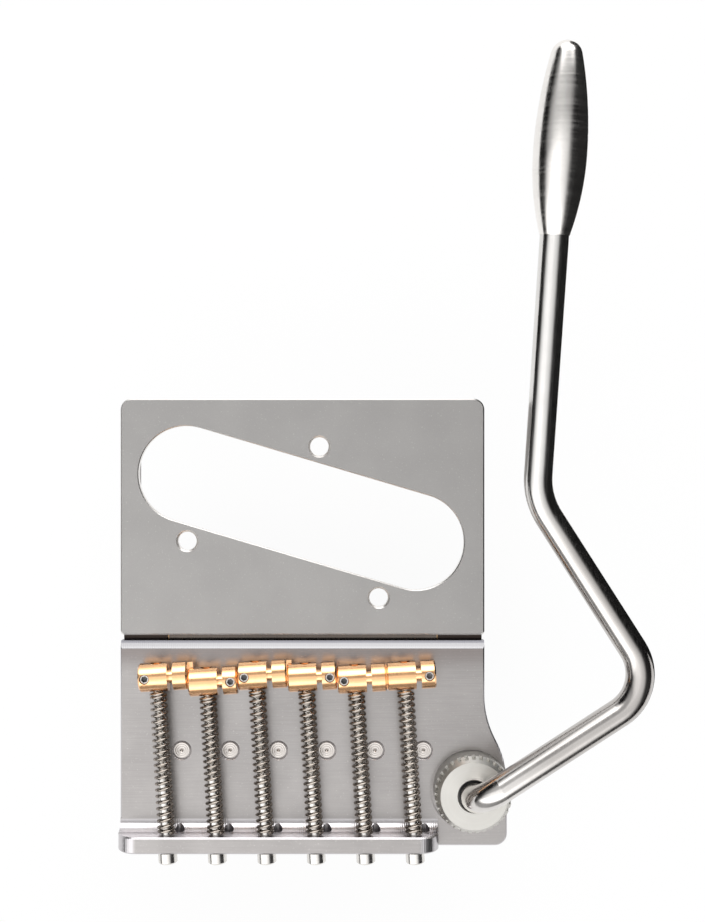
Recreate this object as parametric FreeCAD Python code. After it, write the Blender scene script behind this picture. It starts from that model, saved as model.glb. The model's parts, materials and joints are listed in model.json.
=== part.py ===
"""Tremolo bridge for an electric guitar: a fixed front plate with the pickup slot, a moving bridge
plate on a pivot pin, six barrel saddles, a sustain block on return springs and a swivelling arm.

Millimetres. The origin lies on the guitar's top, below the pivot pin, on the plates' centre line.
+X is the treble side, +Y points to the neck and +Z points away from the guitar.
"""

import FreeCAD
import Part

import math
import os

V = FreeCAD.Vector
X_AXIS = V(1, 0, 0)
Y_AXIS = V(0, 1, 0)
Z_AXIS = V(0, 0, 1)

# Overrun of every cutting tool, and how near two places are to be one
OVERRUN = 1.0
MATCH = 0.001

# Pivot and height stack
PIVOT_HEIGHT = 2.25
KNUCKLE_RADIUS = 2.1
KNUCKLE_LENGTH = 58.0
KNUCKLE_COVER_GAP = 0.2
KNUCKLE_COVE_GAP = 0.3
PIN_DIAMETER = 2.0
PIN_HOLE_CLEARANCE = 0.01
PIN_RUNNING_CLEARANCE = 0.03
PIN_INSET = 0.4
TREM_ANGLE = 14.0

# Pivot bushes, grub screws and ears
BUSH_WALL = 0.45
BUSH_LENGTH = 8.0
BUSH_FLANGE_RADIUS = 1.95
BUSH_FLANGE_THICKNESS = 0.3
BUSH_SIDE_PLAY = 0.1
EAR_ROOT = 5.0
EAR_SIDE_INSET = 0.4
EAR_CLEARANCE = 0.4
GRUB_DIAMETER = 1.6
GRUB_LENGTH = 3.2
GRUB_SOCKET_DEPTH = 1.2
GRUB_SOCKET_ACROSS = 0.8

# Front plate
FRONT_WIDTH = 78.4
FRONT_LENGTH = 50.9
FRONT_THICKNESS = 2.0
FRONT_SETBACK = 0.67
FRONT_CORNER_RADIUS = 2.4
FRONT_REAR_CORNER_RADIUS = 0.8
EDGE_CHAMFER = 0.3
SLOT_SPAN = 51.6
SLOT_WIDTH = 20.7
SLOT_TILT = 16.5
SLOT_CENTRE_X = -0.3
SLOT_CENTRE_SHARE = 0.537
SLOT_CHAMFER = 0.2
PICKUP_HOLE_DIAMETER = 4.0
PICKUP_HOLE_CHAMFER = 0.4
PICKUP_HOLE_SPACING = 43.0
PICKUP_HOLE_OFFSET = 13.8

# Base frame under both plates
SHEET_THICKNESS = 2.0
SHEET_WIDTH = 68.0
SHEET_REAR = 34.0
WALL_INSET = 0.4
SIDE_WALL = 3.0
FRONT_WALL = 5.0
KNUCKLE_BAR_FRONT = 5.6
KNUCKLE_BAR_SETBACK = 0.45
CORNER_BAR_FRONT = 7.5
MOUNT_HOLE_DIAMETER = 3.6
MOUNT_SINK_DIAMETER = 6.4
MOUNT_SPACING_X = 52.0
MOUNT_SPACING_Y = 8.5
MOUNT_FIRST_ROW = 8.5

# Screws that hold the front plate from below
PLATE_SCREW_DIAMETER = 1.8
PLATE_SCREW_HEAD_DIAMETER = 3.4
PLATE_SCREW_HEAD_HEIGHT = 1.2
PLATE_SCREW_SINK = 1.6
PLATE_SCREW_BITE = 1.2
PLATE_SCREW_SPACING_X = 67.8
PLATE_SCREW_SLACK = 0.15
PLATE_SCREW_SOCKET_ACROSS = 1.3
PLATE_SCREW_SOCKET_DEPTH = 0.7

# Rest pads under the moving plate
PAD_DIAMETER = 4.4
PAD_STEM_DIAMETER = 3.0
PAD_STEM_CLEARANCE = 0.02
PAD_FROM_REAR = 3.4

# Moving bridge plate
BRIDGE_WIDTH = 78.4
BRIDGE_LENGTH = 44.05
BRIDGE_THICKNESS = 3.2
BRIDGE_SETBACK = 0.65
BEVEL_RUN = 1.6
BEVEL_DROP = 0.9
WING_REACH = 4.85
WING_CURVE_START = 11.65
WING_CURVE_LENGTH = 19.4
WING_CORNER_RADIUS = 2.6
LIP_THICKNESS = 3.5
LIP_HEIGHT = 6.45
LIP_END_RADIUS = 4.3
LIP_FOOT_RADIUS = 2.5
LIP_END_MARGIN = 2.9

# Flush block pins
BLOCK_PIN_SPACING = 10.4
BLOCK_PIN_BACK = 24.2
BLOCK_PIN_DIAMETER = 2.8
BLOCK_PIN_HEAD_DIAMETER = 3.5
BLOCK_PIN_HEAD_HEIGHT = 0.7
BLOCK_PIN_SINK_DIAMETER = 3.9
BLOCK_PIN_SINK_CHAMFER = 0.16
BLOCK_PIN_CLEARANCE = 0.02
BLOCK_PIN_BITE = 9.0
BLOCK_PIN_SLOT_CLEARANCE = 0.35
BLOCK_PIN_DIMPLE_DIAMETER = 0.7
BLOCK_PIN_DIMPLE_DEPTH = 0.25

# Sustain block and return springs
BLOCK_WIDTH = 63.0
BLOCK_DEPTH = 10.0
BLOCK_HEIGHT = 12.0
BLOCK_DROP = 12.0
BLOCK_CHAMFER = 0.8
RETURN_WIRE = 1.1
RETURN_MEAN_DIAMETER = 4.6
RETURN_TURNS = 5
RETURN_BEND = 1.15
RETURN_POCKET_CLEARANCE = 0.1
RETURN_POCKET_DEPTH_ABOVE = 0.6
RETURN_POCKET_DEPTH_BELOW = 0.8

# Strings, saddles and their screws
STRING_SPACING = 10.5
STRING_COUNT = 6
STRING_HOLE_DIAMETER = 2.1
STRING_HOLE_HEIGHT = 1.3
UNIT_SKEW = 3.3
SCREW_OFFSET = -2.25
SCREW_HEIGHT = 4.0
SCREW_DIAMETER = 2.4
SCREW_CLEARANCE = 0.05
SCREW_HEAD_DIAMETER = 4.0
SCREW_HEAD_LENGTH = 2.3
SCREW_HEAD_GAP = 0.15
SCREW_HEAD_CHAMFER = 0.3
SCREW_SOCKET_ACROSS = 2.0
SCREW_SOCKET_DEPTH = 1.3
SCREW_PAST_SADDLE_CENTRE = 2.2
SADDLE_DIAMETER = 6.1
SADDLE_SIDE_GAP = 0.14
SADDLE_LEFT = 3.8
SADDLE_CHAMFER = 0.3
SADDLE_BACK = (7.7, 8.65, 7.3, 7.7, 8.05, 7.4)
GROOVE_OFFSET = 2.9
GROOVE_WIDTH = 1.15
GROOVE_NECK_DIAMETER = 2.9
LAP_LENGTH = 1.05
LAP_GAP = 0.2
HEIGHT_SCREW_DIAMETER = 2.0
HEIGHT_SCREW_CLEARANCE = 0.05
HEIGHT_SCREW_FROM_END = 1.4
HEIGHT_SCREW_SUNK = 0.45
HEIGHT_SCREW_SOCKET_ACROSS = 1.1
HEIGHT_SCREW_SOCKET_DEPTH = 1.2

# Intonation springs
SPRING_WIRE = 0.6
SPRING_MEAN_DIAMETER = 3.2
SPRING_TURNS = 13
SPRING_BEND = 0.75
SPRING_END_GAP = 0.1

# Arm socket, its nut and sleeve, and the knurled collar
SOCKET_X = 36.4
SOCKET_BACK = 32.5
SOCKET_DIAMETER = 9.0
SOCKET_HOLE_CLEARANCE = 0.02
SOCKET_BOTTOM = 1.45
SOCKET_FLANGE_DIAMETER = 12.0
SOCKET_FLANGE_THICKNESS = 1.2
SOCKET_LIP_HEIGHT = 0.7
SOCKET_LIP_CLEARANCE = 0.1
SLEEVE_WALL = 0.45
SLEEVE_CLEARANCE = 0.01
NUT_ACROSS = 11.0
NUT_THICKNESS = 1.8
NUT_CLEARANCE = 0.02
NUT_ROOM = 0.6
POCKET_DIAMETER = 17.9
POCKET_DEPTH = 0.8
COLLAR_DIAMETER = 16.4
COLLAR_TOP_DIAMETER = 14.2
COLLAR_HEIGHT_OVER_FLOOR = 6.5
COLLAR_SHOULDER_DROP = 1.7
COLLAR_CAP = 1.6
COLLAR_HOLE_DIAMETER = 6.8
COLLAR_HOLE_CHAMFER = 0.15
COLLAR_RUNNING_CLEARANCE = 0.05
COLLAR_FLANGE_ROOM = 0.2
COLLAR_GAP = 0.1
COLLAR_SLOTS = 32
COLLAR_SLOT_WIDTH = 0.75
COLLAR_SLOT_DEPTH = 0.6
COLLAR_SLOT_RUN = 0.9

# Arm
ARM_DIAMETER = 5.9
ARM_SHANK_DIAMETER = 5.0
ARM_SHANK_CLEARANCE = 0.03
ARM_HEIGHT_OVER_FLOOR = 13.0
ARM_SHANK_BOTTOM = 0.45
ARM_SHANK_TAPER = 0.6
ARM_ELBOW_RADIUS = 6.0
ARM_LOWER_BEND_RADIUS = 9.5
ARM_UPPER_BEND_RADIUS = 15.0
ARM_LOWER_REACH = 37.0
ARM_LOWER_RISE = 24.0
ARM_MIDDLE_REACH = 24.8
ARM_MIDDLE_RISE = 39.0
ARM_UPPER_REACH = 2.77
ARM_UPPER_RISE = 53.0
ARM_UPPER_LIFT = 5.7
TIP_LENGTH = 38.2
TIP_BASE_DIAMETER = 6.1
TIP_DIAMETER = 10.8
TIP_WIDEST_AT = 16.1
TIP_NOSE_RADIUS = 3.2
TIP_STUD_DIAMETER = 4.0
TIP_STUD_LENGTH = 9.0
TIP_STUD_CLEARANCE = 0.02
RING_THICKNESS = 0.5
RING_ABOVE_SHANK_END = 0.3
RING_OUTER_DIAMETER = 6.4
RING_GROOVE_DIAMETER = 4.0
RING_GROOVE_PLAY = 0.05
RING_GAP_ANGLE = 60.0

# Places and sizes that follow
PIN_RADIUS = PIN_DIAMETER / 2
WALL_TOP = PIVOT_HEIGHT + KNUCKLE_RADIUS + KNUCKLE_COVER_GAP
FLOOR = WALL_TOP + FRONT_THICKNESS
UNDERSIDE = FLOOR - BRIDGE_THICKNESS
BUSH_BORE = PIN_RADIUS + PIN_RUNNING_CLEARANCE
BUSH_RADIUS = BUSH_BORE + BUSH_WALL
EAR_INNER = KNUCKLE_LENGTH / 2 + BUSH_FLANGE_THICKNESS + BUSH_SIDE_PLAY
EAR_OUTER = BRIDGE_WIDTH / 2 - EAR_SIDE_INSET
EAR_BOTTOM = PIVOT_HEIGHT - KNUCKLE_RADIUS
FRONT_EDGE = FRONT_SETBACK + FRONT_LENGTH
SLOT_RADIUS = SLOT_WIDTH / 2
SLOT_CENTRE_Y = FRONT_SETBACK + FRONT_LENGTH * SLOT_CENTRE_SHARE
SHEET_FRONT = -EAR_ROOT - EAR_CLEARANCE
FRAME_HALF = FRONT_WIDTH / 2 - WALL_INSET
FRAME_FRONT = FRONT_EDGE - WALL_INSET
FRAME_REAR = KNUCKLE_RADIUS + EAR_CLEARANCE
LIP_REAR = -BRIDGE_SETBACK - BRIDGE_LENGTH
LIP_INNER = LIP_REAR + LIP_THICKNESS
LIP_TOP = FLOOR + LIP_HEIGHT
LIP_END = (STRING_COUNT - 1) / 2 * STRING_SPACING + LIP_END_MARGIN
BLOCK_TOP = -BLOCK_DROP
BLOCK_PIN_Y = -BLOCK_PIN_BACK
BLOCK_PIN_BOTTOM = BLOCK_TOP - BLOCK_PIN_BITE
BLOCK_PIN_HEAD_SEAT = FLOOR - BLOCK_PIN_HEAD_HEIGHT
RETURN_LEG_RADIUS = math.hypot(RETURN_MEAN_DIAMETER / 2, RETURN_BEND)
RETURN_POCKET_RADIUS = RETURN_LEG_RADIUS + RETURN_WIRE / 2 + RETURN_POCKET_CLEARANCE
SCREW_AXIS = FLOOR + SCREW_HEIGHT
SCREW_HOLE_RADIUS = SCREW_DIAMETER / 2 + SCREW_CLEARANCE
SADDLE_RADIUS = SADDLE_DIAMETER / 2
SADDLE_LENGTH = STRING_SPACING * math.cos(math.radians(UNIT_SKEW)) - SADDLE_SIDE_GAP
SADDLE_RIGHT = SADDLE_LENGTH - SADDLE_LEFT
SOCKET_Y = -SOCKET_BACK
SOCKET_RADIUS = SOCKET_DIAMETER / 2
SHANK_RADIUS = ARM_SHANK_DIAMETER / 2
SLEEVE_BORE = SHANK_RADIUS + ARM_SHANK_CLEARANCE
SLEEVE_RADIUS = SLEEVE_BORE + SLEEVE_WALL
SOCKET_BORE = SLEEVE_RADIUS + SLEEVE_CLEARANCE
POCKET_FLOOR = FLOOR - POCKET_DEPTH
SOCKET_FLANGE_TOP = POCKET_FLOOR + SOCKET_FLANGE_THICKNESS
COLLAR_TOP = FLOOR + COLLAR_HEIGHT_OVER_FLOOR
COLLAR_CEILING = COLLAR_TOP - COLLAR_CAP
SOCKET_TOP = COLLAR_CEILING - COLLAR_GAP
ARM_RADIUS = ARM_DIAMETER / 2
ARM_LEVEL = FLOOR + ARM_HEIGHT_OVER_FLOOR


def box(x0, x1, y0, y1, z0, z1):
    """Box between two corners."""
    return Part.makeBox(x1 - x0, y1 - y0, z1 - z0, V(x0, y0, z0))


def rod(radius, start, end):
    """Cylinder from one point to another."""
    run = end - start
    return Part.makeCylinder(radius, run.Length, start, run)


def post(radius, x, y, z0, z1):
    """Upright cylinder."""
    return rod(radius, V(x, y, z0), V(x, y, z1))


def cone(radius_low, radius_high, x, y, z0, z1):
    """Upright cone."""
    return Part.makeCone(radius_low, radius_high, z1 - z0, V(x, y, z0), Z_AXIS)


def tube(outer, inner, x, y, z0, z1):
    """Upright tube."""
    return post(outer, x, y, z0, z1).cut(post(inner, x, y, z0 - OVERRUN, z1 + OVERRUN))


def hexagon(across, start, end):
    """Hexagonal prism from one point to another, which lie on an axis of the frame."""
    run = end - start
    first = X_AXIS if abs(run.x) < run.Length / 2 else Y_AXIS
    second = run.cross(first).normalize()
    corner = across / 2 / math.cos(math.pi / 6)
    points = []
    for i in range(6):
        angle = math.pi / 3 * i
        points.append(start + (first * math.cos(angle) + second * math.sin(angle)) * corner)
    return polygon(points).extrude(run)


def polygon(points):
    """Flat face with straight sides through a list of corners."""
    return Part.Face(Part.makePolygon(points + points[:1]))


def line(a, b):
    """Straight edge."""
    return Part.LineSegment(a, b).toShape()


def arc(a, middle, b):
    """Arc through three points."""
    return Part.Arc(a, middle, b).toShape()


def prism(edges, direction):
    """Solid from a closed run of edges, pushed along a direction."""
    return Part.Face(Part.Wire(Part.__sortEdges__(edges))).extrude(direction)


def rounded_plate(x0, x1, y0, y1, z0, z1, rear_radius, front_radius):
    """Plate with rounded corners in plan."""
    solid = box(x0, x1, y0, y1, z0, z1)
    rear, front = [], []
    for edge in solid.Edges:
        if edge.BoundBox.ZLength > (z1 - z0) / 2:
            (rear if edge.CenterOfMass.y < (y0 + y1) / 2 else front).append(edge)
    places = [edge.CenterOfMass for edge in rear]
    solid = solid.makeFillet(front_radius, front)
    rear = [e for e in solid.Edges if any(e.CenterOfMass.isEqual(place, MATCH) for place in places)]
    return solid.makeFillet(rear_radius, rear)


def top_edges(solid, level):
    """Edges that lie wholly at one height."""
    found = []
    for edge in solid.Edges:
        box_of = edge.BoundBox
        if abs(box_of.ZMin - level) < MATCH and abs(box_of.ZMax - level) < MATCH:
            found.append(edge)
    return found


def chamfered_hole(radius, chamfer, x, y, z0, z1):
    """Tool for a hole from z0 to z1 whose top edge is chamfered."""
    shaft = post(radius, x, y, z0 - OVERRUN, z1 + OVERRUN)
    mouth = cone(radius, radius + chamfer + OVERRUN, x, y, z1 - chamfer, z1 + OVERRUN)
    return shaft.fuse(mouth)


def mirrored_x(value):
    """The same distance to both sides."""
    return (-value, value)


def string_places():
    """X of each string, bass side first."""
    return [(i - (STRING_COUNT - 1) / 2) * STRING_SPACING for i in range(STRING_COUNT)]


def pin_places():
    """X of each block pin."""
    return [(i - (STRING_COUNT - 1) / 2) * BLOCK_PIN_SPACING for i in range(STRING_COUNT)]


def return_spring_places():
    """X of each return spring, midway between block pins."""
    return [i * BLOCK_PIN_SPACING for i in (-2, -1, 1, 2)]


def plate_screw_places():
    """X and Y of the four screws below the front plate."""
    rear = (FRAME_REAR + CORNER_BAR_FRONT) / 2
    front = FRAME_FRONT - FRONT_WALL / 2
    return [(x, y) for y in (rear, front) for x in mirrored_x(PLATE_SCREW_SPACING_X / 2)]


def pad_places():
    """X and Y of the two rest pads."""
    return [(x, -SHEET_REAR + PAD_FROM_REAR) for x in mirrored_x(2 * BLOCK_PIN_SPACING)]


def pickup_hole_places():
    """The three pickup screw holes, in the slot's own slanted frame."""
    tilt = math.radians(SLOT_TILT)
    places = []
    for along, across in (
        (0, PICKUP_HOLE_OFFSET),
        (-PICKUP_HOLE_SPACING / 2, -PICKUP_HOLE_OFFSET),
        (PICKUP_HOLE_SPACING / 2, -PICKUP_HOLE_OFFSET),
    ):
        x = SLOT_CENTRE_X + along * math.cos(tilt) + across * math.sin(tilt)
        y = SLOT_CENTRE_Y - along * math.sin(tilt) + across * math.cos(tilt)
        places.append((x, y))
    return places


def in_unit(shape, index):
    """Put a shape of a saddle unit in place. In the unit's own frame the origin is on the screw's axis at
    the lip's rear face, +Y runs along the screw to the saddle and +X along the barrel."""
    origin = V(string_places()[index] + SCREW_OFFSET, LIP_REAR, SCREW_AXIS)
    placed = shape.copy()
    skewed = FreeCAD.Placement(origin, FreeCAD.Rotation(Z_AXIS, UNIT_SKEW))
    placed.Placement = skewed.multiply(placed.Placement)
    return placed


def saddle_distance(index):
    """Distance along the screw from the lip's rear face to the saddle's axis."""
    return (-SADDLE_BACK[index] - LIP_REAR) / math.cos(math.radians(UNIT_SKEW))


def biarc(start, start_way, end, end_way):
    """Two arcs that leave start along one direction and reach end along another."""
    chord = end - start
    ways = start_way + end_way
    bend = 2 * (1 - start_way.dot(end_way))
    along = chord.dot(ways)
    reach = (-along + math.sqrt(along * along + bend * chord.dot(chord))) / bend
    joint = (start + end + (start_way - end_way) * reach) * 0.5
    first = arc_from(start, start_way, joint)
    second = arc_from(end, end_way * -1, joint)
    return [first, second]


def arc_from(start, way, end):
    """Arc that leaves start along a direction and goes through end."""
    chord = end - start
    half = chord.getAngle(way)
    across = way - chord * (way.dot(chord) / chord.dot(chord))
    across.normalize()
    middle = start + chord * 0.5 + across * (chord.Length / 2 * math.tan(half / 2))
    return arc(start, middle, end)


def coil_path(mean_radius, wire, turns, bend, length):
    """Edges of a right-handed coil up +Z, whose ends turn along the axis and run straight for one wire."""
    low = wire + bend
    pitch = (length - 2 * low) / turns
    slope = math.atan2(pitch, 2 * math.pi * mean_radius)
    edges = [line(V(mean_radius, -bend, 0), V(mean_radius, -bend, wire))]
    edges += biarc(V(mean_radius, -bend, wire), Z_AXIS, V(mean_radius, 0, low), Y_AXIS)
    points, ways = [], []
    for quarter in range(4 * turns + 1):
        angle = math.pi / 2 * quarter
        height = low + pitch * quarter / 4
        points.append(V(mean_radius * math.cos(angle), mean_radius * math.sin(angle), height))
        rise = 0 if quarter in (0, 4 * turns) else slope
        flat = math.cos(rise)
        ways.append(V(-math.sin(angle) * flat, math.cos(angle) * flat, math.sin(rise)))
    for quarter in range(4 * turns):
        edges += biarc(points[quarter], ways[quarter], points[quarter + 1], ways[quarter + 1])
    high = length - low
    edges += biarc(V(mean_radius, 0, high), Y_AXIS, V(mean_radius, bend, length - wire), Z_AXIS)
    edges.append(line(V(mean_radius, bend, length - wire), V(mean_radius, bend, length)))
    return edges


def pipe(edges, radius):
    """Round tube along a smooth run of edges that starts with a straight one."""
    path = Part.Wire(edges)
    first = edges[0]
    start = first.Vertexes[0].Point
    way = first.Vertexes[1].Point - start
    ring = Part.Wire([Part.Circle(start, way, radius).toShape()])
    shell = Part.BRepOffsetAPI.MakePipeShell(path)
    shell.add(ring)
    shell.build()
    shell.makeSolid()
    return shell.shape()


def least_gap(edges, wire, turn_length):
    """Least gap of a coil to itself, measured on points along its path."""
    step = wire / 2
    points, run = [], []
    done = 0
    for edge in edges:
        count = max(2, int(edge.Length / step))
        first, last = edge.ParameterRange
        for i in range(count):
            points.append(edge.valueAt(first + (last - first) * i / count))
            run.append(done + edge.Length * i / count)
        done += edge.Length
    least = done
    for i, point in enumerate(points):
        for j in range(i + 1, len(points)):
            away = run[j] - run[i]
            if away > 2 * turn_length:
                break
            if away > turn_length / 2:
                least = min(least, point.distanceToPoint(points[j]))
    return least - wire


def coil(name, mean_radius, wire, turns, bend, length):
    """One spring up +Z from the origin, and its least gap to itself."""
    edges = coil_path(mean_radius, wire, turns, bend, length)
    solid = pipe(edges, wire / 2)
    expected = math.pi * wire * wire / 4 * sum(edge.Length for edge in edges)
    gap = least_gap(edges, wire, 2 * math.pi * mean_radius)
    print(f"{name}: least gap {gap:.2f} mm, volume {solid.Volume / expected:.4f} of section times length")
    return solid


def base_frame():
    """Sheet, pivot knuckle and the walls under the front plate, with all that is cut in them."""
    half = SHEET_WIDTH / 2
    knuckle = KNUCKLE_LENGTH / 2
    solid = box(-half, half, -SHEET_REAR, SHEET_FRONT, 0, SHEET_THICKNESS)
    solid = solid.fuse(
        [
            box(-knuckle, knuckle, SHEET_FRONT, KNUCKLE_BAR_FRONT, 0, SHEET_THICKNESS),
            box(-knuckle, knuckle, KNUCKLE_BAR_SETBACK, KNUCKLE_BAR_FRONT, 0, WALL_TOP),
            rod(KNUCKLE_RADIUS, V(-knuckle, 0, PIVOT_HEIGHT), V(knuckle, 0, PIVOT_HEIGHT)),
            perimeter_wall(),
        ]
    )
    reach = knuckle + OVERRUN
    tools = [rod(BUSH_RADIUS, V(-reach, 0, PIVOT_HEIGHT), V(reach, 0, PIVOT_HEIGHT))]
    for x in pin_places():
        tools.append(pin_slot(x))
    for x in return_spring_places():
        tools.append(post(RETURN_POCKET_RADIUS, x, BLOCK_PIN_Y, -OVERRUN, RETURN_POCKET_DEPTH_ABOVE))
    for x in mirrored_x(MOUNT_SPACING_X / 2):
        for y in (-MOUNT_FIRST_ROW, -MOUNT_FIRST_ROW - MOUNT_SPACING_Y):
            sink = (MOUNT_SINK_DIAMETER - MOUNT_HOLE_DIAMETER) / 2
            tools.append(chamfered_hole(MOUNT_HOLE_DIAMETER / 2, sink, x, y, 0, SHEET_THICKNESS))
    for x, y in plate_screw_places():
        slack = PLATE_SCREW_SLACK
        tools.append(post(PLATE_SCREW_DIAMETER / 2 + slack, x, y, -OVERRUN, WALL_TOP + OVERRUN))
        tools.append(post(PLATE_SCREW_HEAD_DIAMETER / 2 + slack, x, y, -OVERRUN, PLATE_SCREW_SINK))
    for x, y in pad_places():
        radius = PAD_STEM_DIAMETER / 2 + PAD_STEM_CLEARANCE
        tools.append(post(radius, x, y, -OVERRUN, SHEET_THICKNESS + OVERRUN))
    nut_corner = NUT_ACROSS / 2 / math.cos(math.pi / 6)
    tools.append(post(nut_corner + NUT_ROOM, SOCKET_X, SOCKET_Y, -OVERRUN, SHEET_THICKNESS + OVERRUN))
    return solid.cut(tools).removeSplitter()


def perimeter_wall():
    """Open ring of walls that carries the front plate."""
    radius = FRONT_CORNER_RADIUS - WALL_INSET
    outer = rounded_plate(-FRAME_HALF, FRAME_HALF, FRAME_REAR, FRAME_FRONT, 0, WALL_TOP, radius, radius)
    inner_half = FRAME_HALF - SIDE_WALL
    room = box(
        -inner_half, inner_half, CORNER_BAR_FRONT, FRAME_FRONT - FRONT_WALL, -OVERRUN, WALL_TOP + OVERRUN
    )
    knuckle = KNUCKLE_LENGTH / 2
    middle = box(-knuckle, knuckle, KNUCKLE_BAR_FRONT, CORNER_BAR_FRONT, -OVERRUN, WALL_TOP + OVERRUN)
    return outer.cut([room, middle])


def pin_slot(x):
    """Slot in the sheet that lets a block pin swing through the tremolo's angle."""
    angle = math.radians(TREM_ANGLE)
    lift = BLOCK_PIN_BACK * math.sin(angle)
    drop = (PIVOT_HEIGHT + lift) / math.cos(angle)
    swung = -BLOCK_PIN_BACK * math.cos(angle) - drop * math.sin(angle)
    width = BLOCK_PIN_DIAMETER / 2 + BLOCK_PIN_SLOT_CLEARANCE
    reach = BLOCK_PIN_DIAMETER / 2 / math.cos(angle) + BLOCK_PIN_SLOT_CLEARANCE
    front = BLOCK_PIN_Y + reach - width
    rear = swung - reach + width
    top = SHEET_THICKNESS + OVERRUN
    ends = post(width, x, front, -OVERRUN, top).fuse(post(width, x, rear, -OVERRUN, top))
    return ends.fuse(box(x - width, x + width, rear, front, -OVERRUN, top))


def front_plate():
    """Fixed plate with the slanted pickup slot, three pickup holes and blind screw holes below."""
    half = FRONT_WIDTH / 2
    solid = rounded_plate(
        -half, half, FRONT_SETBACK, FRONT_EDGE, WALL_TOP, FLOOR, FRONT_REAR_CORNER_RADIUS, FRONT_CORNER_RADIUS
    )
    solid = solid.makeChamfer(EDGE_CHAMFER, top_edges(solid, FLOOR))
    tools = [pickup_slot()]
    for x, y in pickup_hole_places():
        tools.append(chamfered_hole(PICKUP_HOLE_DIAMETER / 2, PICKUP_HOLE_CHAMFER, x, y, WALL_TOP, FLOOR))
    for x, y in plate_screw_places():
        depth = PLATE_SCREW_BITE + PLATE_SCREW_SLACK
        tools.append(post(PLATE_SCREW_DIAMETER / 2, x, y, WALL_TOP - OVERRUN, WALL_TOP + depth))
    return solid.cut(tools).removeSplitter()


def pickup_slot():
    """Tool for the pickup slot, with its top edge broken."""
    half = SLOT_SPAN / 2
    radius = SLOT_RADIUS
    mouth = radius + SLOT_CHAMFER + OVERRUN
    section = [
        V(-half, -radius, WALL_TOP - OVERRUN),
        V(-half, radius, WALL_TOP - OVERRUN),
        V(-half, radius, FLOOR - SLOT_CHAMFER),
        V(-half, mouth, FLOOR + OVERRUN),
        V(-half, -mouth, FLOOR + OVERRUN),
        V(-half, -radius, FLOOR - SLOT_CHAMFER),
    ]
    run = polygon(section).extrude(X_AXIS * SLOT_SPAN)
    ends = [chamfered_hole(radius, SLOT_CHAMFER, x, 0, WALL_TOP, FLOOR) for x in mirrored_x(half)]
    tool = run.fuse(ends).removeSplitter()
    turn = FreeCAD.Rotation(Z_AXIS, -SLOT_TILT)
    tool.Placement = FreeCAD.Placement(V(SLOT_CENTRE_X, SLOT_CENTRE_Y, 0), turn).multiply(tool.Placement)
    return tool


def front_plate_screws():
    """Four socket screws from below, heads sunk in the frame."""
    screws = []
    for x, y in plate_screw_places():
        seat = PLATE_SCREW_SINK
        low = seat - PLATE_SCREW_HEAD_HEIGHT
        deep = low + PLATE_SCREW_SOCKET_DEPTH
        head = post(PLATE_SCREW_HEAD_DIAMETER / 2, x, y, low, seat)
        shank = post(PLATE_SCREW_DIAMETER / 2, x, y, seat, WALL_TOP + PLATE_SCREW_BITE)
        socket = hexagon(PLATE_SCREW_SOCKET_ACROSS, V(x, y, low - OVERRUN), V(x, y, deep))
        screws.append(head.fuse(shank).cut(socket))
    return Part.makeCompound(screws)


def pivot_bush(side):
    """Flanged bush in one end of the knuckle."""
    face = side * KNUCKLE_LENGTH / 2
    mouth = V(face, 0, PIVOT_HEIGHT)
    outward = X_AXIS * side
    sleeve = rod(BUSH_RADIUS, mouth - outward * BUSH_LENGTH, mouth)
    rim = rod(BUSH_FLANGE_RADIUS, mouth, mouth + outward * BUSH_FLANGE_THICKNESS)
    bore = rod(BUSH_BORE, mouth - outward * (BUSH_LENGTH + OVERRUN), mouth + outward * OVERRUN)
    return sleeve.fuse(rim).cut(bore).removeSplitter()


def pivot_pin():
    """Pin through both ears and the knuckle."""
    end = EAR_OUTER - PIN_INSET
    return rod(PIN_RADIUS, V(-end, 0, PIVOT_HEIGHT), V(end, 0, PIVOT_HEIGHT))


def grub_places():
    """Where each grub screw meets the pivot pin."""
    middle = (EAR_INNER + EAR_OUTER) / 2
    return [V(x, -PIN_RADIUS, PIVOT_HEIGHT) for x in mirrored_x(middle)]


def pivot_grub_screws():
    """Two grub screws in the ears that lock the pivot pin."""
    screws = []
    for tip in grub_places():
        end = tip - Y_AXIS * GRUB_LENGTH
        socket = hexagon(GRUB_SOCKET_ACROSS, end - Y_AXIS * OVERRUN, end + Y_AXIS * GRUB_SOCKET_DEPTH)
        screws.append(rod(GRUB_DIAMETER / 2, tip, end).cut([socket, pivot_pin()]))
    return Part.makeCompound(screws)


def rest_pad(place):
    """Soft pad on a stem in the sheet, under the moving plate."""
    x, y = place
    disc = post(PAD_DIAMETER / 2, x, y, SHEET_THICKNESS, UNDERSIDE)
    return disc.fuse(post(PAD_STEM_DIAMETER / 2, x, y, 0, SHEET_THICKNESS)).removeSplitter()


def return_spring(x):
    """Return spring between the sheet and the sustain block."""
    low = BLOCK_TOP - RETURN_POCKET_DEPTH_BELOW
    length = RETURN_POCKET_DEPTH_ABOVE - low
    name = f"return spring at {x:.1f}"
    radius = RETURN_MEAN_DIAMETER / 2
    spring = coil(name, radius, RETURN_WIRE, RETURN_TURNS, RETURN_BEND, length)
    spring.translate(V(x, BLOCK_PIN_Y, low))
    return spring


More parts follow.
